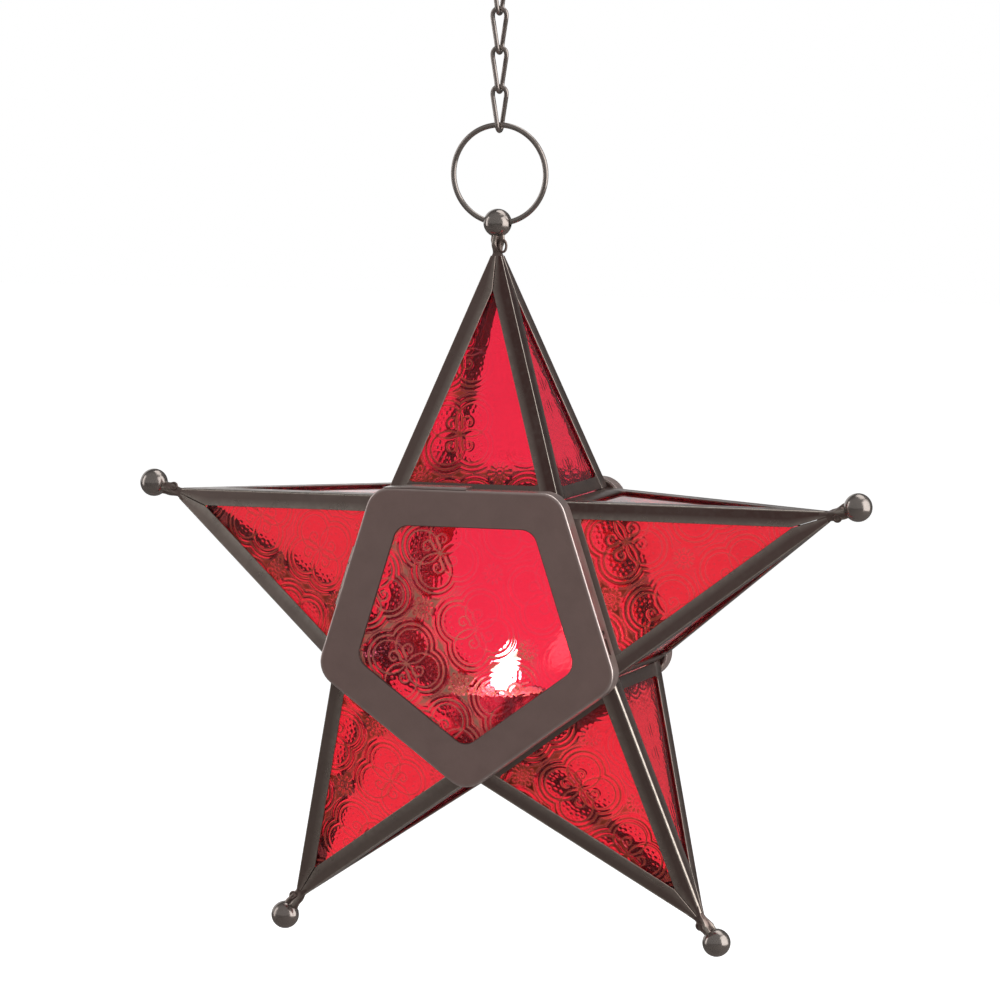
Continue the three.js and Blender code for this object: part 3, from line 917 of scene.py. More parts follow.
@dataclass(frozen=True)
class Press:
    """How strongly the pattern was pressed over a pane: fully on one side of a slanting line, less on the other.

    Args:
        low: strength on the weak side, from 0 to 1.
        edge: where the line crosses the pane's foot, in millimetres across.
        slant: how far the line moves across for each millimetre up.
        side: +1 where the right side is the strong one, -1 for the left.
        foot: height up to which the pattern is strong all across.
        spot: place across, height and radius of one more strong patch.
    """

    low: float = 0.5
    edge: float = 0.0
    slant: float = 0.0
    side: int = 1
    foot: float = -50.0
    spot: tuple[float, float, float] = (0.0, 0.0, -50.0)

    def share(self, s: Array, q: Array) -> Array:
        """Strength at places on the pane: smooth steps across the line, at the foot and round the patch."""
        across = PressedPattern.room(-self.side * (s - self.edge - self.slant * q), 2.2)
        x, height, radius = self.spot
        patch = PressedPattern.room(np.hypot(s - x, q - height) - radius, 1.5)
        foot = PressedPattern.room(q - self.foot, 1.8)
        return np.maximum(self.low + (1 - self.low) * across, np.maximum(foot, patch))


# An edge so far to the right that the whole pane lies on the weak side
NO_EDGE = 60.0

# The angle under which a pane's faces are shaded as one surface, in degrees
GLASS_SMOOTH = 70.0


@dataclass(frozen=True)
class Cut:
    """Where a pane was cut from the pressed sheet, and how strongly the sheet was pressed there.

    Args:
        middle: where a medallion's middle lies on the pane.
        turn: how far the sheet was turned, in degrees.
        press: how strongly the pattern was pressed.
    """

    middle: tuple[float, float]
    turn: float
    press: Press


@dataclass
class PressedPane:
    """A pane of pressed glass: a flat outer side, and a relief on its inner side.

    Args:
        rows: heights up the pane at which its sides are given, with its left and right side at each.
        cut: its part of the pressed sheet.
        ink: how dark the painted shade on the pressed lines is.
        patch: how dark the painted shade on the ground between the medallions is.
        ink_outside: whether the painted shade lies on the outer side instead of the inner one.
        step: distance between its points.
        relief: height of the relief.
        thick: its thickness to the relief's highest places.
        pattern: the sheet's pattern.
    """

    rows: Array
    cut: Cut
    ink: float = 0.85
    patch: float = 0.95
    ink_outside: bool = True
    step: float = 0.4
    relief: float = 0.5
    thick: float = PLAN.pane
    pattern: PressedPattern = field(default_factory=PressedPattern)

    def pressed(self, s: Array, q: Array, inside: Array) -> tuple[Array, Array]:
        """How high the inner side stands at places on the pane, and how dark its painted shade is there.

        The sheet's pattern is turned and moved to the pane, and faded out within a millimetre of its edge. Where
        the press is weak the relief comes near its mean height. Two slow sines of sines make a very shallow wave.
        The raised lines and the ground between the medallions get painted shade.

        Args:
            s: places across the pane.
            q: places up the pane.
            inside: how far each place is from the pane's edge.

        Returns:
            The height, zero or less, and the painted shade, from 0 to 1.
        """
        c, d = math.cos(math.radians(self.cut.turn)), math.sin(math.radians(self.cut.turn))
        a, b = s - self.cut.middle[0], q - self.cut.middle[1]
        u, v = c * a - d * b, d * a + c * b
        share = self.cut.press.share(s, q)
        height, ground = self.pattern.height(u, v)
        height = height * np.clip(inside, 0, 1)
        mean = 0.25
        raised = mean + (0.03 + 0.97 * share) * (height - mean)
        wave = 0.015 * (np.sin(u / 5.3 + 1.7 * np.sin(v / 9.1)) + np.sin(v / 6.1 + 1.3 * np.sin(u / 7.7)))
        top = self.relief * (raised - 1) + wave * np.clip(inside / 3.0, 0, 1) - 0.1
        # The raised lines and the ground get painted shade for the dark that the relief refracts.
        lines = np.minimum(1.5 * share, 1) * self.pattern.room(0.48 - height, 0.03)
        return top, np.maximum(self.ink * lines, self.patch * share**2 * ground)

    def shell(self) -> Shell:
        """The pane in its own plane, outwards along the third axis, with its flat outer side at zero.

        Rows of points run up the pane, and each row is spread evenly between the pane's sides. The outer side is
        one face, or the same rows of points where it carries the painted shade. The rim joins the two sides.
        """
        low, high = self.rows[0, 0], self.rows[-1, 0]
        q = np.linspace(low, high, int((high - low) / self.step) + 2)
        left, right = (np.interp(q, self.rows[:, 0], self.rows[:, k])[:, None] for k in (1, 2))
        across = np.linspace(0, 1, int(np.max(right - left) / self.step) + 2)[None, :]
        s = left + (right - left) * across
        q = np.broadcast_to(q[:, None], s.shape)
        inside = np.minimum(np.minimum(s - left, right - s), np.minimum(q - low, high - q))
        top, ink = self.pressed(s, q, inside)
        points = np.stack([s, q, -self.thick - top], axis=-1).reshape(-1, 3)
        ink, flat = ink.reshape(-1), np.array([1.0, 1.0, 0.0])
        index = np.arange(s.size).reshape(s.shape)
        quads = np.stack([index[:-1, :-1], index[:-1, 1:], index[1:, 1:], index[1:, :-1]], axis=-1).reshape(-1, 4)
        rim = np.concatenate([index[0, :-1], index[:-1, -1], index[-1, :0:-1], index[:0:-1, 0]])
        if self.ink_outside:
            outer, below = points * flat, rim + s.size
            faces, wear = quads[:, ::-1] + s.size, np.concatenate([0 * ink, ink])
        else:
            outer, below = points[rim] * flat, np.arange(len(rim)) + s.size
            faces, wear = below[::-1][None, :], np.concatenate([ink, np.zeros(len(rim))])
        side = np.stack([rim, below, np.roll(below, -1), np.roll(rim, -1)], axis=-1)
        return Shell(np.concatenate([points, outer]), [quads, side, faces], wear).outward()


# Spikes


@dataclass(frozen=True)
class SpikeLook:
    """What differs from one spike's front to the next, with places as the spike points up.

    Args:
        reflection_tones: the tone of the left and right front strips, painting lighter and darker reflections of
            their flanges.
        fold: radius of the folds along its ridges, in millimetres.
        cut: the front pane's part of the pressed sheet.
    """

    reflection_tones: tuple[float, float]
    fold: float
    cut: Cut


# Each look's first pair is the front strips' tone, a painted reflection.
LOOKS = {
    Spike.TOP: SpikeLook((0.6, 1.0), 0.3, Cut((-8.0, 25.0), -6.0, Press(0.0, 4.0, -0.18, side=-1, foot=12.0))),
    Spike.RIGHT: SpikeLook((0.9, 0.73), 0.6, Cut((-13.0, 20.0), -12.0, Press(0.3, NO_EDGE, foot=24.0))),
    Spike.LOWER_RIGHT: SpikeLook((0.6, 0.42), 1.2, Cut((4.0, 28.0), 5.0, Press(0.1, -9.0))),
    Spike.LOWER_LEFT: SpikeLook((0.05, 0.2), 0.55, Cut((-8.0, 26.0), -2.0, Press(0.35, 3.0))),
    Spike.LEFT: SpikeLook((0.03, 0.4), 0.8, Cut((4.0, 23.0), 4.0, Press(0.3, -3.0, side=-1))),
}


@dataclass
class SpikeFrame:
    """A spike's four corner strips, folded along its ridges, the strips across its foot, and its pinched neck.

    Args:
        spike: which spike.
        seam: half the room between two strips that meet on a face's middle line.
        edge: how far the edges of the sheet are softened.
        fold_inside: radius of a ridge's fold on its inner side.
        lift: how far the strips' free edges may stand off the face, from and to.
        rows: sections along a corner strip.
        neck_twist: how far the neck turns as it rises, in degrees.
        neck_low: how far the neck starts inside the spike.
        neck_wear: how much rubbing shows on the neck's lobes.
        tie_reach: height of the wire loop beside the neck.
        tie_wire: radius of that wire.
        broad_sweep: radius of the window's lower corners in the front and back faces.
        side_sweep: the same in the side faces.
        smooth: the angle under which its faces are shaded as one surface, in degrees.
        seed: start of the strips' random draws, to which the spike's number is added.
        neck_seed: start of the neck's random draws, likewise.
    """

    spike: Spike
    seam: float = 0.12
    edge: float = 0.14
    fold_inside: float = 0.35
    lift: tuple[float, float] = (-0.05, 0.14)
    rows: int = 44
    neck_twist: float = 38.0
    neck_low: float = 3.0
    neck_wear: float = 0.5
    tie_reach: float = 143.6
    tie_wire: float = 0.5
    broad_sweep: float = 1.4
    side_sweep: float = 2.6
    smooth: float = 40.0
    seed: int = 7
    neck_seed: int = 31

    def corner(self, sx: int, sy: int, lift: tuple[float, float]) -> Shell:
        """One folded strip: an L-shaped profile carried up a ridge.

        At each reach the profile's corner is the corner of the spike's section. Its two arms run inwards along the
        faces as far as the flange allows, or to the face's middle line near the tip, and the fold between them is
        a quarter circle. Each arm stands off its face in proportion to the square of the place along it, by the
        lift at its free edge.

        Args:
            sx: +1 for the right ridges, -1 for the left.
            sy: +1 for the back ridges, -1 for the front.
            lift: how far the free edges of the two arms stand off, in millimetres.

        Returns:
            The strip.
        """
        broad, deep = PLAN.face(Side.FRONT), PLAN.face(Side.RIGHT)
        arm_x, arm_y = PLAN.flange / math.cos(broad.lean), PLAN.flange / math.cos(deep.lean)
        wall_y, wall_x = PLAN.sheet * broad.slant / PLAN.rise, PLAN.sheet * deep.slant / PLAN.rise
        knees = [PLAN.apex - PLAN.rise * (arm + self.seam) / face.half
                 for arm, face in ((arm_x, broad), (arm_y, deep))]
        z = np.linspace(PLAN.base_reach, PLAN.neck_start + 0.4, self.rows)
        z = np.unique(np.concatenate([z, knees]))
        half_x, half_y = PLAN.halves(z)
        a, b = np.minimum(arm_x, half_x - self.seam), np.minimum(arm_y, half_y - self.seam)
        # Near the tip the fold shrinks with the spike's section
        r = np.minimum(LOOKS[self.spike].fold, 0.55 * np.minimum(half_x, half_y))
        # The free edges and the folds are brightened: rubbing, and a painted highlight along them.
        e, run, ri, edge_wear_and_highlight = self.edge, r + 0.18, self.fold_inside, 0.35
        turns, fold_wear_and_highlight = np.radians(np.linspace(0, 90, 8)), 0.7 * np.sin(np.linspace(0.25, math.pi - 0.25, 8)) ** 2
        # The section's points, as places along the two arms with their wear: outside, the free edge, and inside
        section = [(a - e, 0, edge_wear_and_highlight), (0.5 * a, 0, 0), (run, 0, 0)]
        section += [((1 - math.sin(t)) * r, (1 - math.cos(t)) * r, rub_and_highlight) for t, rub_and_highlight in zip(turns, fold_wear_and_highlight)]
        section += [(0, run, 0), (0, 0.5 * b, 0), (0, b - e, edge_wear_and_highlight), (e, b, edge_wear_and_highlight), (wall_x - e, b, 0),
                    (wall_x, b - e, 0), (wall_x, 0.5 * b, 0)]
        section += [(wall_x + ri - ri * math.sin(t), wall_y + ri - ri * math.cos(t), 0)
                    for t in np.radians(np.linspace(90, 0, 4))]
        section += [(0.5 * a, wall_y, 0), (a - e, wall_y, 0), (a, wall_y - e, 0), (a, e, 0)]
        px, py = (np.stack([np.broadcast_to(place[k], z.shape) for place in section], axis=1) for k in (0, 1))
        py = py - lift[0] * (px / arm_x) ** 2 * (py < wall_y + 0.01)
        px = px - lift[1] * (py / arm_y) ** 2 * (px < wall_x + 0.01)
        x, y = sx * (half_x[:, None] - px), sy * (half_y[:, None] - py)
        wear = np.array([[place[2] for place in section]])
        return loft(np.stack([x, y, np.broadcast_to(z[:, None], x.shape)], axis=-1), wear=wear)

    def foot_strip(self, side: Side, height: float, sweep: float) -> Shell:
        """The strip across the foot of one face, whose upper edge sweeps up into the window's lower corners.

        Its outline runs along the foot and back along the upper edge, which is the strip's height plus, within the
        sweep's radius of each end, the rise of a quarter circle. The outline is carried from just under the face's
        skin to its back, and drawn in where the sheet's edges are soft.
        """
        face = PLAN.face(side)
        tuck, soft = 1.2, 0.12
        tan = face.half / face.slant
        reach = face.half - height * tan - PLAN.flange / math.cos(face.lean)
        s = np.linspace(-reach - tuck, reach + tuck, 41)
        t = np.clip((np.abs(s) - (reach - sweep)) / sweep, 0, 0.98)
        top = height + sweep * (1 - np.sqrt(1 - t**2))
        outline = np.concatenate([np.column_stack([s, np.full_like(s, 0.05)]), np.column_stack([s, top])[::-1]])
        inwards = np.sign(np.array([0.0, height / 2]) - outline) * np.array([0.0, 1.0])
        depths = [(-0.06, soft), (-0.14, 0.0), (-PLAN.sheet + soft, 0.0), (-PLAN.sheet + 0.02, soft)]
        rings = [np.column_stack([outline + step * inwards, np.full(len(outline), n)]) for n, step in depths]
        return loft(PLAN.on_face(np.stack(rings), side))

    def neck(self) -> Shell:
        """The pinched neck: the strips' four corners drawn in, twisted and crumpled up to the ball.

        Its radius at an angle is that of a soft rectangle at the foot and of a four-lobed ring at the head,
        blended along the neck, and the whole section turns as it rises. Three slow waves make it uneven.
        """
        chance = np.random.default_rng(self.neck_seed + self.spike.value)
        rise = np.linspace(0, 1, 22)[:, None]
        low, high = PLAN.neck_start - self.neck_low, PLAN.tip_reach - PLAN.ball_radius + 0.9
        z = low + (high - low) * rise
        angle = around(48)[None, :]
        half_x, half_y = (half - self.seam for half in PLAN.halves(np.minimum(z, PLAN.neck_start + 1.5)))
        square = (np.abs(np.cos(angle) / half_x) ** 9 + np.abs(np.sin(angle) / half_y) ** 9) ** (-1 / 9)
        lobes = np.abs(np.cos(2 * (angle - math.pi / 4)))
        head = PLAN.neck_head / 2 * (0.7 + 0.34 * lobes**1.4)
        share = eased((rise - 0.3) / 0.55)
        phase = chance.uniform(0, 2 * np.pi, 3)
        crumple = 0.24 * np.sin(3 * angle + 5 * rise + phase[0]) + 0.16 * np.sin(5 * angle - 7 * rise + phase[1])
        crumple = crumple + 0.2 * np.sin(14 * rise + 2 * angle + phase[2])
        radius = square * (1 - share) + head * share + crumple * share
        turned = angle + math.radians(self.neck_twist) * rise
        x, y, z = radius * np.cos(turned), radius * np.sin(turned), np.broadcast_to(z, radius.shape)
        return loft(np.stack([x, y, z], axis=-1), wear=self.neck_wear * share * lobes**4)

    def tie(self) -> Shell:
        """The loop of wire beside the neck: an open ring at the top spike, a small lump pressed in elsewhere.

        Its path is a slanting ellipse, whose width and depth are cosines and whose height is a sine of one angle.
        """
        out, tall = (2.6, 2.3) if self.spike is Spike.TOP else (1.7, 1.3)
        turn = around(28)
        x, y = out + 1.2 * np.cos(turn), -1.2 + 0.5 * np.cos(turn)
        return wire(np.stack([x, y, self.tie_reach + tall * np.sin(turn)], axis=-1), self.tie_wire, 10, DEEP)

    def build(self, make: Build) -> None:
        """Makes the frame."""
        chance = np.random.default_rng(self.seed + self.spike.value)
        shells = []
        for sx in (1, -1):
            for sy in (-1, 1):
                strip = self.corner(sx, sy, tuple(chance.uniform(*self.lift, 2)))
                # Front strips take their painted reflection tone, and back strips a random one.
                tone = LOOKS[self.spike].reflection_tones[sx > 0] if sy < 0 else chance.uniform(0.5, 1)
                shells.append(replace(strip, tone=tone))
        for side in Side:
            sweep = self.broad_sweep if side.broad else self.side_sweep
            shells.append(self.foot_strip(side, PLAN.strip(self.spike, side), sweep))
        shells += [self.neck(), self.tie()]
        name = self.spike.label
        make.add(f"frame_{name}", shells, STRIP, "star", [f"spike_frame_{name}"], put=self.spike.placed,
                 smooth=self.smooth)


@dataclass
class TipBall:
    """A ball soldered on a neck; the top one is drilled across for the ring, and its bore's rims are soft."""

    spike: Spike
    radius: float = PLAN.ball_radius - 0.02
    bore: float = 1.55
    soft: float = 0.05

    def profile(self, start: float, count: int) -> Array:
        """Half a circle from one end of its axis to the other, short by an angle at both."""
        t = np.linspace(start, math.pi - start, count)
        return np.column_stack([self.radius * np.sin(t), -self.radius * np.cos(t)])

    def drilled(self) -> Shell:
        """A circle carried round the bore's axis, and closed by the bore's wall with softened rims."""
        rim = math.asin(self.bore / self.radius)
        end = self.radius * math.cos(rim)
        half = np.array([(self.bore + self.soft, end - self.soft), (self.bore, end - 0.35)])
        wall = np.concatenate([half, [(self.bore, 0)], half[::-1] * np.array([1.0, -1.0])])
        return lathe(np.concatenate([self.profile(rim + 0.04, 46), wall]), 64, ring=True).moved(laid_across)

    def build(self, make: Build) -> None:
        """Makes the ball."""
        ball = self.drilled() if self.spike is Spike.TOP else lathe(self.profile(0.02, 40), 64)
        seated = ball.moved(lambda p: p + np.array([0, 0, PLAN.tip_reach]))
        name = self.spike.label
        make.add(f"ball_{name}", [seated], WIRE, "star", [f"tip_ball_{name}"], put=self.spike.placed)


@dataclass
class SpikeGlass:
    """The four panes of a spike, behind its strips.

    Args:
        spike: which spike.
        overlap: how far a pane reaches behind the strips.
        depth: how far its outer side lies under the face's skin.
        blunt: how much is cut off its tip.
        side_relief: height of the relief on the side panes.
        back_relief: height of the relief on the back pane.
        side_ink: how dark the painted shade of the pressed lines is on the side panes.
        back_ink: how dark it is on the back pane.
        seed: start of its random draws, to which the spike's number is added.
    """

    spike: Spike
    overlap: float = 2.5
    depth: float = 1.1
    blunt: float = 0.4
    side_relief: float = 0.35
    back_relief: float = 0.2
    side_ink: float = 0.5
    back_ink: float = 0.15
    seed: int = 50

    def rows(self, side: Side) -> Array:
        """The pane's outline as rows of (height, left, right): a triangle drawn in from the ridges, cut blunt."""
        face = PLAN.face(side)
        inset = (PLAN.flange - self.overlap) / math.cos(face.lean)
        low = PLAN.strip(self.spike, side) - self.overlap
        high = face.slant - PLAN.flange / math.sin(face.lean) + self.blunt
        half = [(face.slant - q) * math.tan(face.lean) - inset for q in (low, high)]
        return np.array([[low, -half[0], half[0]], [high, -half[1], half[1]]])

    def pane(self, side: Side, cut: Cut) -> PressedPane:
        """The pane of one side: finely pressed in front, fainter and coarser on the others."""
        if side is Side.FRONT:
            return PressedPane(self.rows(side), LOOKS[self.spike].cut)
        ink, relief = (self.side_ink, self.side_relief) if not side.broad else (self.back_ink, self.back_relief)
        return PressedPane(self.rows(side), cut, ink, ink, ink_outside=False, step=0.65, relief=relief)

    def build(self, make: Build) -> None:
        """Makes the four panes. Random draws are made for each, and all but the front one are cut by them."""
        chance = np.random.default_rng(self.seed + self.spike.value)
        faint = Press(low=0.2, edge=NO_EDGE, foot=14.0)
        for side in Side:
            middle = tuple(chance.uniform(0, PressedPattern.pitch, 2))
            cut = Cut(middle, float(chance.uniform(-6, 6)), faint)
            shell = replace(self.pane(side, cut).shell(), tone=1.0 if self.spike is Spike.TOP else 0.5)
            sunk = shell.moved(lambda p: PLAN.on_face(p - np.array([0, 0, self.depth]), side))
            name = f"{self.spike.label}_{side.label}"
            make.add(f"pane_{name}", [sunk], GLASS, "star", [f"glass_{name}"], "red_glass",
                     put=self.spike.placed, smooth=GLASS_SMOOTH)


# Covers and collars


def pentagon(inradius: float, corner: float, arc: int = 9, straight: int = 8) -> Array:
    """Points round a pentagon with a corner down and rounded corners.

    Each corner is an arc whose middle lies on the line to the sharp corner, and each side is a straight run
    between two arcs. Two pentagons with the same counts have matching points.

    Args:
        inradius: the middle to the sides.
        corner: radius of the corners.
        arc: points on each corner.
        straight: points inside each side.

    Returns:
        The points, (n, 2), counter-clockwise.
    """
    sweep = fifths(1)
    reach = (inradius - corner) / math.cos(sweep / 2)
    turn = np.linspace(-sweep / 2, sweep / 2, arc)
    towards = math.radians(-90) + sweep * np.arange(5)
    middles = reach * np.stack([np.cos(towards), np.sin(towards)], axis=-1)
    angles = towards[:, None] + turn[None, :]
    arcs = middles[:, None, :] + corner * np.stack([np.cos(angles), np.sin(angles)], axis=-1)
    ends, starts = arcs[:, -1], np.roll(arcs, -1, axis=0)[:, 0]
    share = (np.arange(1, straight + 1) / (straight + 1))[None, :, None]
    runs = ends[:, None, :] * (1 - share) + starts[:, None, :] * share
    return np.concatenate([arcs, runs], axis=1).reshape(-1, 2)


def band(rings: list[tuple[Array, float, float]]) -> Shell:
    """A closed section carried round a pentagon.

    Args:
        rings: for each point of the section its outline, which gives x and z, its depth, which gives y, and its
        wear value.

    Returns:
        The shell.
    """
    grid = np.stack([np.column_stack([line[:, 0], np.full(len(line), y), line[:, 1]]) for line, y, _ in rings])
    return loft(grid, ring_rows=True, wear=np.array([[wear] for _, _, wear in rings]))


@dataclass
class Cover:
    """A shallow pentagon pan with a window: the door in front, and the fixed cover behind.

    Args:
        inradius: the middle to the sides.
        corner: radius of its corners.
        depth: front plane to the rim's back edge.
        sheet: thickness of its sheet.
        fold: radius of the fold between plate and rim.
        plate: width of the plate round the window.
        window_corner: radius of the window's corners.
        overlap: how far the pane reaches behind the plate.
        edge: how far the edges of the sheet are softened.
        tab: half the width of the tabs behind the pane.
        sheet_turn: how far the pressed sheet was turned, in degrees.
        smooth: the angle under which a pan's faces are shaded as one surface, in degrees.
    """

    inradius: float = PLAN.base_reach + PLAN.cover_past
    corner: float = 10.0
    depth: float = 7.4
    sheet: float = 1.0
    fold: float = 0.75
    plate: float = 14.4
    window_corner: float = 6.5
    overlap: float = 5.0
    edge: float = 0.14
    tab: float = 3.0
    sheet_turn: float = -27.0
    smooth: float = 30.0

    @property
    def face(self) -> float:
        """The front plane of the pan."""
        return -(PLAN.half_depth + PLAN.gap + self.depth)

    def pan(self) -> Shell:
        """The pan: its section carried round the pentagon.

        The section starts at the window's edge, runs out along the plate, turns back on a quarter circle, runs
        along the rim, and comes back inside one sheet away. On the plate a ring is a straight blend of the
        window's outline and the plate's outer outline. On the fold and the rim it is the outer outline drawn in by
        a step. The window's edge is darkened by a painted shadow, the fold and the rim are a little brightened by
        rubbing and painted highlight, and the inside is painted bright as light seen through the glass.
        """
        window = pentagon(self.inradius - self.plate, self.window_corner)

        def outer(step: float) -> Array:
            """The outer outline drawn in by a step."""
            return pentagon(self.inradius - step, self.corner - step)

        def mix(share: float, step: float) -> Array:
            """A ring on the plate."""
            return window * (1 - share) + outer(step) * share

        # The inside's value of 0.9 paints it bright, as light seen through the glass.
        y, back, e, painted_light_inside = self.face, self.face + self.depth, self.edge, 0.9
        inner, inside = y + self.sheet, self.sheet + 0.4
        # The window's edge, at -1 and -0.8, is a painted shadow line.
        rings = [(window, y + e, -1.0), (mix(0.012, self.fold), y, -0.8)]
        rings += [(mix(share, self.fold), y, 0.0) for share in (0.03, 0.5, 0.96)]
        # The fold and the rim are a little brightened: rubbing and painted highlight.
        for t in np.radians(np.linspace(0, 90, 6)):
            step, down = self.fold * (1 - math.sin(t)), self.fold * (1 - math.cos(t))
            rings.append((outer(step), y + down, 0.1 + 0.25 * t))
        rings += [(outer(0), y + self.fold + 0.2, 0.15), (outer(0), back - 0.5, 0.15), (outer(0), back - e, 0.3),
                  (outer(e), back, 0.3), (outer(self.sheet - e), back, painted_light_inside), (outer(self.sheet), back - e, painted_light_inside),
                  (outer(self.sheet), inner + 0.4, painted_light_inside), (outer(self.sheet + 0.12), inner + 0.12, painted_light_inside),
                  (outer(inside), inner, painted_light_inside), (mix(0.5, inside), inner, painted_light_inside), (mix(0.012, inside), inner, painted_light_inside),
                  (window, inner - e, -1.0)]
        return band(rings)

    def bent_tab(self, place: int) -> Shell:
        """One of the bent tabs behind the pane: an L-shaped section carried along its width."""
        leg = self.inradius - self.plate + self.overlap + PLAN.gap
        inner = self.face + self.sheet
        behind = inner + PLAN.gap + PLAN.pane + PLAN.gap
        section = np.array([(leg + 0.8, inner - 0.3), (leg + 0.8, behind + 0.5), (leg + 0.5, behind + 0.8),
                            (leg - 2.2, behind + 0.8), (leg - 2.4, behind + 0.6), (leg - 2.4, behind + 0.1),
                            (leg - 2.2, behind), (leg, behind), (leg, inner - 0.3)])
        middle, soft = section.mean(axis=0), 0.15
        rows = []
        for x, share in ((-self.tab, 0.9), (soft - self.tab, 1), (0, 1), (self.tab - soft, 1), (self.tab, 0.9)):
            drawn = middle + (section - middle) * share
            rows.append(np.column_stack([np.full(len(drawn), x), drawn[:, 1], drawn[:, 0]]))
        return loft(np.stack(rows)).moved(lambda p: turned_y(p, fifths(place)))

    def lap(self) -> Shell:
        """The end of the rim's strip, lapped over the rim along the left half of the top edge.

        Its section is a thin rectangle that grows from nothing at the left corner to a full sheet and ends square.
        """
        start, grown, end = -33.5, -22, 0.5
        x = np.concatenate([np.linspace(start, grown, 10), np.linspace(-18, end - 0.15, 8), [end]])
        thick = np.interp(x, [start, grown, end - 0.15, end], [0.03, 0.95, 1.05, 0.95])
        low, front, back = self.inradius - 0.02, self.face + 0.05, self.face + self.depth - 0.1
        e, nil = np.minimum(0.12, thick / 3), 0 * x
        y = np.stack([front + nil, front + e, back - e, back + nil, back + nil, front + nil], axis=1)
        z = low + np.stack([thick - e, thick, thick, thick - e, nil, nil], axis=1)
        wear = np.array([[0.5, 0.6, 0.6, 0.3, 0.0, 0.0]])
        return loft(np.stack([np.broadcast_to(x[:, None], y.shape), y, z], axis=-1), wear=wear)

    def slots(self) -> list[Shell]:
        """Cutters for the two catch slots in the right edge of the rim, each given by its middle and length."""
        y, half, cutters = self.face + 2.6, 0.9, []
        for middle, length in ((23.0, 6.5), (17.4, 1.7)):
            cutter = bevelled_box((middle - length / 2, y - half, self.inradius - 2),
                                  (middle + length / 2, y + half, self.inradius + 1), 0.25)
            cutters.append(cutter.moved(lambda p: turned_y(p, fifths(1))))
        return cutters

    def pane(self, cut: Cut, **looks: float) -> Shell:
        """The cover's pane: rows whose ends lie on a rounded pentagon, one overlap past the window.

        Args:
            cut: its part of the pressed sheet.
            looks: more of the pane's fields.

        Returns:
            The pane, in front of the star's middle.
        """
        outline = pentagon(self.inradius - self.plate + self.overlap, self.window_corner + self.overlap, 15, 2)
        heights = np.linspace(outline[:, 1].min() + 0.15, outline[:, 1].max() - 0.001, 90)
        ends = []
        for sign in (-1, 1):
            half = outline[outline[:, 0] * sign >= -1e-6]
            order = np.argsort(half[:, 1] + 1e-6 * np.abs(half[:, 0]))
            ends.append(np.interp(heights, half[order, 1], half[order, 0]))
        pane = PressedPane(np.column_stack([heights, *ends]), cut, step=0.48, relief=0.4, **looks)
        front = self.face + self.sheet + PLAN.gap
        return pane.shell().moved(lambda p: np.stack([p[:, 0], front - p[:, 2], p[:, 1]], axis=-1))

    def build(self, make: Build) -> None:
        """Makes the door, the back cover and their panes."""
        pan = [self.pan()] + [self.bent_tab(place) for place in range(5)]
        make.add("door_pan", pan + [self.lap()], PLATE, "door", ["door_frame"], "cover_bronze",
                 smooth=self.smooth, cutters=self.slots())
        make.add("back_pan", pan, PLATE, "star", ["back_cover"], "cover_bronze", PLAN.behind, self.smooth)
        strong = Press(low=0.1, slant=-0.3, side=-1, spot=(18.0, -14.0, 10.0))
        door = self.pane(Cut((-39.0, 13.0), self.sheet_turn, strong), ink=0.75)
        make.add("door_pane", [door], DOOR_GLASS, "door", ["door_glass"], "red_glass", smooth=GLASS_SMOOTH)
        back = self.pane(Cut((21.0, 3.0), self.sheet_turn, Press(low=0.1, edge=NO_EDGE)), ink=0.2, patch=0.0,
                         ink_outside=False)
        make.add("back_pane", [back], DOOR_GLASS, "star", ["back_glass"], "red_glass", PLAN.behind, GLASS_SMOOTH)


@dataclass
class Collar:
    """An upright pentagon band that joins the spikes, which a cover slips over.

    Args:
        corner: radius of its inner corners.
        front: place of its front edge.
        reach_in: how far it reaches in past the front edges of the spikes' feet.
        edge: how far its edges are softened.
    """

    corner: float = 7.0
    front: float = -35.7
    reach_in: float = 5.3
    edge: float = 0.15

    def build(self, make: Build) -> None:
        """Makes both collars: a thin rectangle with soft edges, painted brightest inside as light seen through the
        glass, carried round the pentagon.
        """
        wall, e = PLAN.collar_wall, self.edge
        y0, y1 = self.front, -(PLAN.half_depth - self.reach_in)

        def ring(step: float) -> Array:
            """The band's outer outline drawn in by a step."""
            return pentagon(PLAN.collar_reach + wall - step, self.corner + wall - step)

        # The inner side's value of 0.9 paints it bright, as light seen through the glass.
        section = [(0, y0 + e, 0.5), (e, y0, 0.4), (wall - e, y0, 0.6), (wall, y0 + e, 0.9),
                   (wall, y1 - e, 0.9), (wall - e, y1, 0.3), (e, y1, 0.1), (0, y1 - e, 0.1)]
        collar = [band([(ring(step), y, wear) for step, y, wear in section])]
        make.add("collar_front", collar, STRIP, "star", ["front_collar"])
        make.add("collar_back", collar, STRIP, "star", ["back_collar"], put=PLAN.behind)


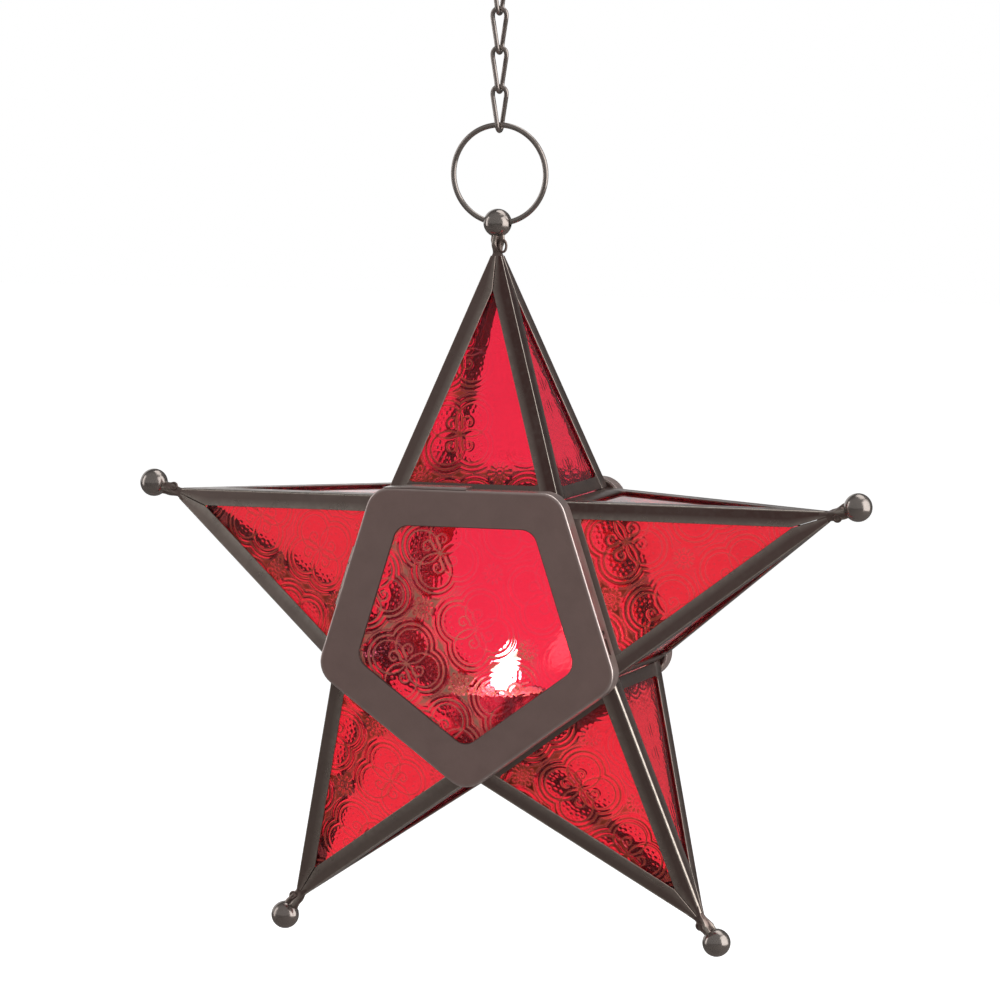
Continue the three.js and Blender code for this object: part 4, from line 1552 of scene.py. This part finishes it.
@dataclass
class Hinge:
    """A small strap hinge at the left edge of the door: two leaves with knuckles, and a pin with round heads.

    Args:
        barrel: radius of the knuckles.
        pin: radius of the pin.
        bore: radius of the knuckles' bore.
        length: length of the leaves.
        leaf: thickness of the leaves.
        door_knuckle: length of the door's knuckle, which stands between the star's two.
        door_leaf: height of the door's leaf.
        star_leaf: width of the star's leaf.
        edge: how far the knuckles' edges are softened.
    """

    barrel: float = 1.25
    pin: float = 0.5
    bore: float = 0.8
    length: float = 24.0
    leaf: float = 0.45
    door_knuckle: float = 10.0
    door_leaf: float = 3.2
    star_leaf: float = 2.8
    edge: float = 0.12

    @property
    def foot(self) -> float:
        """Star's middle to the inner side of the leaves."""
        return PLAN.base_reach + PLAN.cover_past + PLAN.gap

    @property
    def reach(self) -> float:
        """Star's middle to the pin."""
        return self.foot + self.barrel

    @property
    def slope(self) -> float:
        """Slope of the face that the star's leaf lies on."""
        return math.atan(PLAN.half_depth / PLAN.rise)

    @property
    def depth(self) -> float:
        """Middle plane to the pin, towards the front."""
        lie = (PLAN.gap + self.leaf) / math.cos(self.slope)
        lift = (self.barrel - self.leaf / 2) / math.cos(self.slope)
        return PLAN.half_depth - (self.reach - PLAN.base_reach) * math.tan(self.slope) + lie + lift

    def on_pin(self, points: Array) -> Array:
        """Points of an upright shape, laid along the pin."""
        return laid_across(points) + np.array([0, -self.depth, self.reach])

    def lean(self, points: Array) -> Array:
        """Points of the star's leaf, laid on the sloping face."""
        c, s = math.cos(-self.slope), math.sin(-self.slope)
        lie = -(PLAN.half_depth - (self.foot - PLAN.base_reach) * math.tan(self.slope))
        x, y, z = points.T
        return np.stack([x, c * y - s * z + lie, s * y + c * z + self.foot], axis=-1)

    def knuckle(self, start: float, end: float) -> Shell:
        """A curled knuckle: a ring section with soft edges carried round the pin."""
        r, b, e = self.barrel, self.bore, self.edge
        profile = np.array([(r - e, start), (r, start + e), (r, end - e), (r - e, end), (b, end), (b, start)])
        return lathe(profile, 32, ring=True, wear=np.array([0.5, 0.4, 0.4, 0.5, 0, 0])).moved(self.on_pin)

    def rod(self) -> Shell:
        """The pin: a rod with round heads."""
        t = np.linspace(0.1, math.pi / 2, 6)
        start = -self.length / 2 - PLAN.gap
        head = np.column_stack([self.pin * np.sin(t), start + self.pin * (1 - np.cos(t))])
        return lathe(np.concatenate([head, head[::-1] * np.array([1.0, -1.0])]), 24).moved(self.on_pin)

    def build(self, make: Build) -> None:
        """Makes both leaves and the pin, turned to the left edge."""
        half, middle = self.length / 2, self.door_knuckle / 2
        inner, top = middle + PLAN.gap, -self.depth - self.barrel - PLAN.gap
        leaf = bevelled_box((-half, -PLAN.gap - self.leaf, 0.0), (half, -PLAN.gap, self.star_leaf), 0.1)
        star = [leaf.moved(self.lean), self.knuckle(-half, -inner), self.knuckle(inner, half)]
        skin = self.foot + self.leaf
        door = [bevelled_box((-half, top - self.door_leaf, self.foot), (half, top, skin), 0.1),
                bevelled_box((-middle, top - 0.6, self.foot), (middle, -self.depth - self.bore, skin), 0.05),
                self.knuckle(-middle, middle)]

        def at_left(points: Array) -> Array:
            """Points at the top edge of the door, turned to its left edge."""
            return PLAN.placed(points, fifths(-1))

        make.add("hinge_leaf_star", star, STRIP, "star", ["hinge_star_leaf"], put=at_left)
        make.add("hinge_leaf_door", door, STRIP, "door", ["hinge_door_leaf"], put=at_left)
        make.add("hinge_pin_rod", [self.rod()], WIRE, "star", ["hinge_pin"], put=at_left)


# Candle


@dataclass
class Candle:
    """The cup on the bracket, and the tealight in it, burning.

    Args:
        radius: radius of the tealight.
        height: height of its tin.
        wall: thickness of its tin.
        cup_wall: thickness of the cup that holds it.
        cup_height: height of that cup.
        wax_height: height of the wax at the wall.
        pool: how deep the melted pool sinks.
        pool_radius: radius of its floor.
        wick: height of the wick over the wax.
        wick_radius: radius of the wick.
        flame_radius: radius of the flame.
        flame_height: height of the flame.
        flame_aside: how far the flame stands to the right.
    """

    radius: float = 19.0
    height: float = 16.0
    wall: float = 0.6
    cup_wall: float = 0.8
    cup_height: float = 8.0
    wax_height: float = 12.4
    pool: float = 0.7
    pool_radius: float = 9.0
    wick: float = 4.6
    wick_radius: float = 0.55
    flame_radius: float = 5.2
    flame_height: float = 21.0
    flame_aside: float = 2.4

    @property
    def shelf(self) -> float:
        """Height of the bracket's top, 12 mm over the collar's lowest corner."""
        return -((PLAN.collar_reach - PLAN.gap) / math.cos(fifths(0.5)) - 12.0)

    @staticmethod
    def cup(radius: float, foot: float, height: float, wall: float, bead: float) -> Shell:
        """An open cup with a rounded foot and a rolled rim, as a profile carried round its axis."""
        turn, inner = np.radians(np.linspace(0, 180, 9)), radius - wall
        rim = np.column_stack([radius - bead + bead * np.cos(turn), height - bead + bead * np.sin(turn)])
        outside = [(0.05, 0.0), (radius - 1.2, 0.0), (radius - 0.35, 0.35), (radius, 1.2)]
        inside = [(inner, height - 2.2 * bead), (inner, 1.4), (inner - 0.5, wall + 0.3), (inner - 1.3, wall),
                  (0.05, wall)]
        return lathe(np.concatenate([outside, rim, inside]) + np.array([0.0, foot]), 72)

    def wax(self, foot: float, top: float) -> Shell:
        """The wax: a disc whose top sinks smoothly into the melted pool."""
        out = self.radius - self.wall - PLAN.gap
        r = np.linspace(0.05, out - 0.35, 26)
        pool = top - self.pool + self.pool * eased((r - self.pool_radius) / 3.5)
        wall = [(0.05, foot), (out - 0.4, foot), (out, foot + 0.4), (out, top - 0.35)]
        return lathe(np.concatenate([wall, np.column_stack([r, pool])[::-1]]), 72)

    def burnt(self, start: float, end: float) -> Shell:
        """The wick: a wire that bends to the right with the square of its height and forwards with the cube."""
        t = np.linspace(0, 1, 14)
        path = np.stack([0.5 * t**2, -0.35 * t**3, start + (end - start) * t], axis=-1)
        return wire(path, self.wick_radius, 12, ACROSS, closed=False)

    def flame(self, wick: float) -> Shell:
        """The flame: a drop whose radius is a sine of a power of the height, so that it is fullest low down.

        Above the wick it leans to the right in proportion to the height.
        """
        t = np.linspace(0, 1, 30)
        radius = self.flame_radius * np.sin(np.pi * t**0.62) ** 1.15 + 0.04
        drop = lathe(np.column_stack([radius, wick - 3.0 + self.flame_height * t]), 32)
        return drop.moved(lambda p: p + (self.flame_aside + 0.22 * np.clip(p[:, 2:] - wick, 0, 30)) * ACROSS)

    def build(self, make: Build) -> None:
        """Makes the cup, the tealight's parts and the flame."""
        foot = self.shelf + PLAN.gap
        cup = self.cup(self.radius + PLAN.gap + self.cup_wall, foot, self.cup_height, self.cup_wall, 0.4)
        make.add("cup", [cup], BRIGHT, "star", ["candle_cup"])
        foot += self.cup_wall + PLAN.gap
        tin = self.cup(self.radius, foot, self.height, self.wall, 0.3)
        make.add("tealight_tin", [tin], TIN, "tealight", ["tealight_cup"], "tin")
        foot += self.wall + PLAN.gap
        top = foot + self.wax_height
        make.add("wax_pool", [self.wax(foot, top)], WAX, "tealight", ["wax"], "paraffin")
        end = top + self.wick
        make.add("wick_burnt", [self.burnt(top - 1.4, end)], CHAR, "tealight", ["wick"], "cotton")
        make.add("flame", [self.flame(end)], FIRE, "tealight", [], "paraffin")


# Ring, chain and hook


@dataclass
class Hanging:
    """The ring through the top ball, the chain of twisted links, and the hook.

    Args:
        ring_radius: radius of the ring, to the middle of its wire.
        ring_wire: radius of its wire.
        ring_centre: height of its middle.
        link_wire: radius of the links' wire.
        pitch: one link to the next.
        half_width: radius of a link's ends.
        links: how many links there are.
        first_foot: height of the lowest link's foot.
        hook_wire: radius of the hook's wire.
        hook_radius: radius of its bend.
        eye: radius of its eye.
        rise: middle of the eye to the middle of the bend.
    """

    ring_radius: float = 18.85
    ring_wire: float = 1.05
    ring_centre: float = -139.5
    link_wire: float = 0.9
    pitch: float = 15.0
    half_width: float = 2.9
    links: int = 6
    first_foot: float = -122.9
    hook_wire: float = 1.2
    hook_radius: float = 9.2
    eye: float = 3.2
    rise: float = 22.0

    @property
    def link_length(self) -> float:
        """Length of a link from end to end, to the middle of its wire."""
        return self.pitch + 2 * self.link_wire + PLAN.gap

    def ring(self) -> Shell:
        """The ring: a circle in the star's plane."""
        turn = around(160)
        x, z = self.ring_radius * np.sin(turn), self.ring_centre + self.ring_radius * np.cos(turn)
        return wire(np.stack([x, 0 * turn, z], axis=-1), self.ring_wire, 20, DEEP)

    def link(self, foot: float) -> Shell:
        """A twisted link: a long loop whose lower end is turned square to its upper end.

        The upper half circle lies across the star's plane of depth and the lower one square to it, and a straight
        run joins each end of the one to an end of the other. Each point is then the mean of itself and its
        neighbours, which rounds the corners off.
        """
        straight = self.link_length - 2 * self.half_width
        turn = np.linspace(0, np.pi, 34)
        arc_x, arc_z = self.half_width * np.cos(turn), self.half_width * np.sin(turn)
        upper = np.stack([arc_x, 0 * arc_x, straight / 2 + arc_z], axis=-1)
        lower = np.stack([0 * arc_x, -arc_x, -straight / 2 - arc_z], axis=-1)
        share = np.linspace(0, 1, 28)[1:-1, None]
        path = np.concatenate([upper, upper[-1] * (1 - share) + lower[0] * share,
                               lower, lower[-1] * (1 - share) + upper[0] * share])
        path = np.mean([np.roll(path, step, axis=0) for step in range(-4, 5)], axis=0)
        path[:, 2] *= (self.link_length / 2) / np.abs(path[:, 2]).max()
        path[:, 2] += foot + self.link_length / 2
        level = np.array([1.0, 1.0, 0.0])
        return wire(path, self.link_wire, 16, unit((path + 1e-3) * level))

    def hook(self) -> Shell:
        """The hook: an open bend, a straight shank and a closed eye, all in the plane square to the star."""
        bend = -self.hook_radius + self.hook_wire
        eye = bend - self.rise
        lean = math.asin((self.hook_radius + self.eye) / self.rise)
        clear = math.acos(1 - (2 * self.hook_wire + PLAN.gap) / self.eye)
        first = np.linspace(math.radians(-30), math.pi + lean, 60)
        last = np.linspace(lean, lean + clear - 2 * math.pi, 48)
        shank = np.linspace(0, 1, 14)[1:-1, None]
        a = np.stack([self.hook_radius * np.cos(first), bend + self.hook_radius * np.sin(first)], axis=-1)
        b = np.stack([self.eye * np.cos(last), eye + self.eye * np.sin(last)], axis=-1)
        path = np.concatenate([a, a[-1] * (1 - shank) + b[0] * shank, b])
        path = np.column_stack([np.zeros(len(path)), path])
        return wire(path, self.hook_wire - 0.03, 20, ACROSS, closed=False)

    def build(self, make: Build) -> None:
        """Makes the ring, the links from the top one down, and the hook."""
        make.add("ring_wire", [self.ring()], WIRE, "ring", ["hanging_ring"], put=left_there)
        for number in range(1, self.links + 1):
            link = self.link(self.first_foot + self.pitch * (self.links - number))
            make.add(f"link_{number}_wire", [link], WIRE, f"link_{number}", [f"chain_link_{number}"],
                     put=left_there)
        make.add("hook_wire", [self.hook()], WIRE, "hook", ["hook"], put=left_there)


# Studio


@dataclass
class Studio:
    """Pale floor, soft light and the camera.

    Args:
        azimuth: the camera's degrees round from the front, to the right.
        elevation: its degrees up.
        distance: metres from the camera to its aim.
        lens: its focal length.
        aside: how far its aim lies right of the star's middle in the picture, in metres.
        above: how far it lies above it there.
        floor_height: height of the floor, in metres.
        floor_size: half the floor's width.
        floor_glow: how bright the floor is of itself to the camera.
        surround: how bright the surround is as a light.
        white_through: where the surround is white through glass.
        white_mirrored: where it is white in metal.
    """

    azimuth: float = 19.79
    elevation: float = 5.81
    distance: float = 2.0208
    lens: float = 187.24
    aside: float = 0.00093
    above: float = 0.04476
    floor_height: float = -0.78
    floor_size: float = 9.0
    floor_glow: float = 0.62
    surround: float = 0.5
    white_through: Place = (-0.42, 0.9, 0.1)
    white_mirrored: Place = (-0.7, 0.7, 0.15)

    @staticmethod
    def stand(name: str, data: bpy.types.ID, aim: Vector, towards: Vector, distance: float) -> bpy.types.Object:
        """Puts a camera or a lamp at a distance from its aim, looking at it, and adds it to the scene."""
        thing = bpy.data.objects.new(name, data)
        thing.location = aim + towards * distance
        thing.rotation_mode = "QUATERNION"
        thing.rotation_quaternion = (-towards).to_track_quat("-Z", "Y")
        bpy.context.collection.objects.link(thing)
        return thing

    @staticmethod
    def direction(azimuth: float, elevation: float) -> Vector:
        """The direction from the star at degrees round from the front, to the right, and degrees up."""
        a, e = math.radians(azimuth), math.radians(elevation)
        return Vector((math.sin(a) * math.cos(e), -math.cos(a) * math.cos(e), math.sin(e)))

    def camera(self) -> None:
        """Places the camera on the line from the aim at the photograph's angle, looking at the aim."""
        a = math.radians(self.azimuth)
        towards = self.direction(self.azimuth, self.elevation)
        right = Vector((math.cos(a), math.sin(a), 0))
        aim = Vector(PLAN.centre) * MM + right * self.aside + towards.cross(right) * self.above
        data = bpy.data.cameras.new("camera")
        data.lens, data.sensor_width = self.lens, 36.0
        data.clip_start, data.clip_end = 0.05, 60.0
        bpy.context.scene.camera = self.stand("camera", data, aim, towards, self.distance)

    def lamp(self, name: str, azimuth: float, elevation: float, distance: float, size: tuple[float, float],
             radiance: float, mirrored: bool = True) -> None:
        """A softbox that looks at the star.

        Args:
            name: its name.
            azimuth: degrees round from the front, to the right.
            elevation: degrees up.
            distance: metres from the star.
            size: width and height in metres.
            radiance: how bright its face is, where 1 is white.
            mirrored: whether it shows in metal and on glass.
        """
        data = bpy.data.lights.new(name, "AREA")
        data.shape, data.size, data.size_y = "RECTANGLE", size[0], size[1]
        data.energy = radiance * math.pi * size[0] * size[1]
        lamp = self.stand(name, data, Vector(PLAN.centre) * MM, self.direction(azimuth, elevation), distance)
        lamp.visible_camera = False
        lamp.visible_transmission = False
        lamp.visible_glossy = mirrored

    def world(self) -> None:
        """A surround that is white to the camera and grey as a light, with patterns for metal and for glass.

        Metal mirrors a white patch behind on the left, a dim front and a dark back. Through glass it is white in
        front and in a patch behind, and dark elsewhere.
        """
        world = bpy.data.worlds.new("surround")
        world.use_nodes = True
        bpy.context.scene.world = world
        nodes = Nodes(world.node_tree)
        direction = nodes.add("ShaderNodeTexCoord").outputs["Generated"]
        deep = nodes.add("ShaderNodeSeparateXYZ", Vector=direction).outputs["Y"]

        def patch(aim: Place, low: float, high: float, dim: float) -> Socket:
            """White near a direction and dim away from it, by the product of the two directions."""
            near = nodes.paired("ShaderNodeVectorMath", direction, aim, operation="DOT_PRODUCT").outputs["Value"]
            return nodes.span(near, low, high, dim, 1)

        mirrored = nodes.maths("MAXIMUM", patch(self.white_mirrored, 0.84, 0.92, 0),
                               nodes.span(deep, -0.2, 0.3, 0.4, 0.13))
        through = nodes.maths("MAXIMUM", patch(self.white_through, 0.78, 0.9, 0.3),
                              nodes.span(deep, -0.6, -0.1, 1.0, 0.3))
        path = nodes.add("ShaderNodeLightPath").outputs
        light = nodes.choice(path["Is Glossy Ray"], self.surround, mirrored)
        light = nodes.choice(path["Is Transmission Ray"], light, through)
        strength = nodes.maths("MAXIMUM", path["Is Camera Ray"], light)
        sky = nodes.add("ShaderNodeBackground", Color=(1.0, 1.0, 1.0), Strength=strength)
        nodes.add("ShaderNodeOutputWorld", Surface=sky.outputs[0])

    def floor(self) -> None:
        """A pale floor below the lantern, which keeps its shadow and shows dim in metal."""
        mesh = bpy.data.meshes.new("floor")
        corners = [(x * self.floor_size, y * self.floor_size) for x, y in ((-1, -1), (1, -1), (1, 1), (-1, 1))]
        mesh.from_pydata([(x, y, self.floor_height) for x, y in corners], [], [(0, 1, 2, 3)])
        floor = bpy.data.objects.new("floor", mesh)
        bpy.context.collection.objects.link(floor)
        material = bpy.data.materials.new("pale_floor")
        material.use_nodes = True
        nodes = Nodes(material.node_tree)
        path = nodes.add("ShaderNodeLightPath").outputs
        in_metal = nodes.maths("SUBTRACT", path["Is Glossy Ray"], path["Is Transmission Ray"])
        pale, dim = (0.82, 0.82, 0.82), (0.2, 0.187, 0.18)
        matt = nodes.add("ShaderNodeBsdfDiffuse", Color=nodes.blend(in_metal, pale, dim))
        direct = nodes.maths("MAXIMUM", path["Is Camera Ray"], path["Is Transmission Ray"])
        glow = nodes.add("ShaderNodeEmission", Color=(1.0, 1.0, 1.0),
                         Strength=nodes.maths("MULTIPLY", direct, self.floor_glow))
        both = nodes.paired("ShaderNodeAddShader", matt.outputs[0], glow.outputs[0])
        nodes.add("ShaderNodeOutputMaterial", Surface=both.outputs[0])
        mesh.materials.append(material)

    def build(self) -> None:
        """Sets the whole studio up."""
        bpy.context.scene.view_settings.view_transform = "Standard"
        self.camera()
        self.world()
        self.floor()
        self.lamp("right_wall", azimuth=93, elevation=5, distance=1.6, size=(1.9, 3.0), radiance=2.9)
        self.lamp("left_strip", azimuth=-80, elevation=12, distance=2.0, size=(0.6, 1.8), radiance=2.5)
        self.lamp("overhead", azimuth=150, elevation=66, distance=1.6, size=(1.3, 0.9), radiance=2.6)
        self.lamp("front_fill", azimuth=12, elevation=18, distance=3.0, size=(2.0, 2.0), radiance=2.0,
                  mirrored=False)


def carried_over(frame: dict) -> None:
    """Gives every solid that still shows its finish."""
    for name, node in frame["nodes"].items():
        if not node.hide_render:
            node.data.materials.clear()
            node.data.materials.append((BRIGHT if name == "candle_bracket" else STRIP).material())
            LOG.info("kept %s", name)


def main() -> None:
    """Builds the lantern and its studio."""
    logging.basicConfig(level=logging.INFO, format="%(name)s %(message)s")
    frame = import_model()
    make = Build()
    Studio().build()
    for spike in Spike:
        SpikeFrame(spike).build(make)
        TipBall(spike).build(make)
        SpikeGlass(spike).build(make)
    for part in (Cover(), Collar(), Hinge(), Candle(), Hanging()):
        part.build(make)
    carried_over(frame)
    LOG.info("%d new pieces", make.count)


if __name__ == "__main__":
    main()
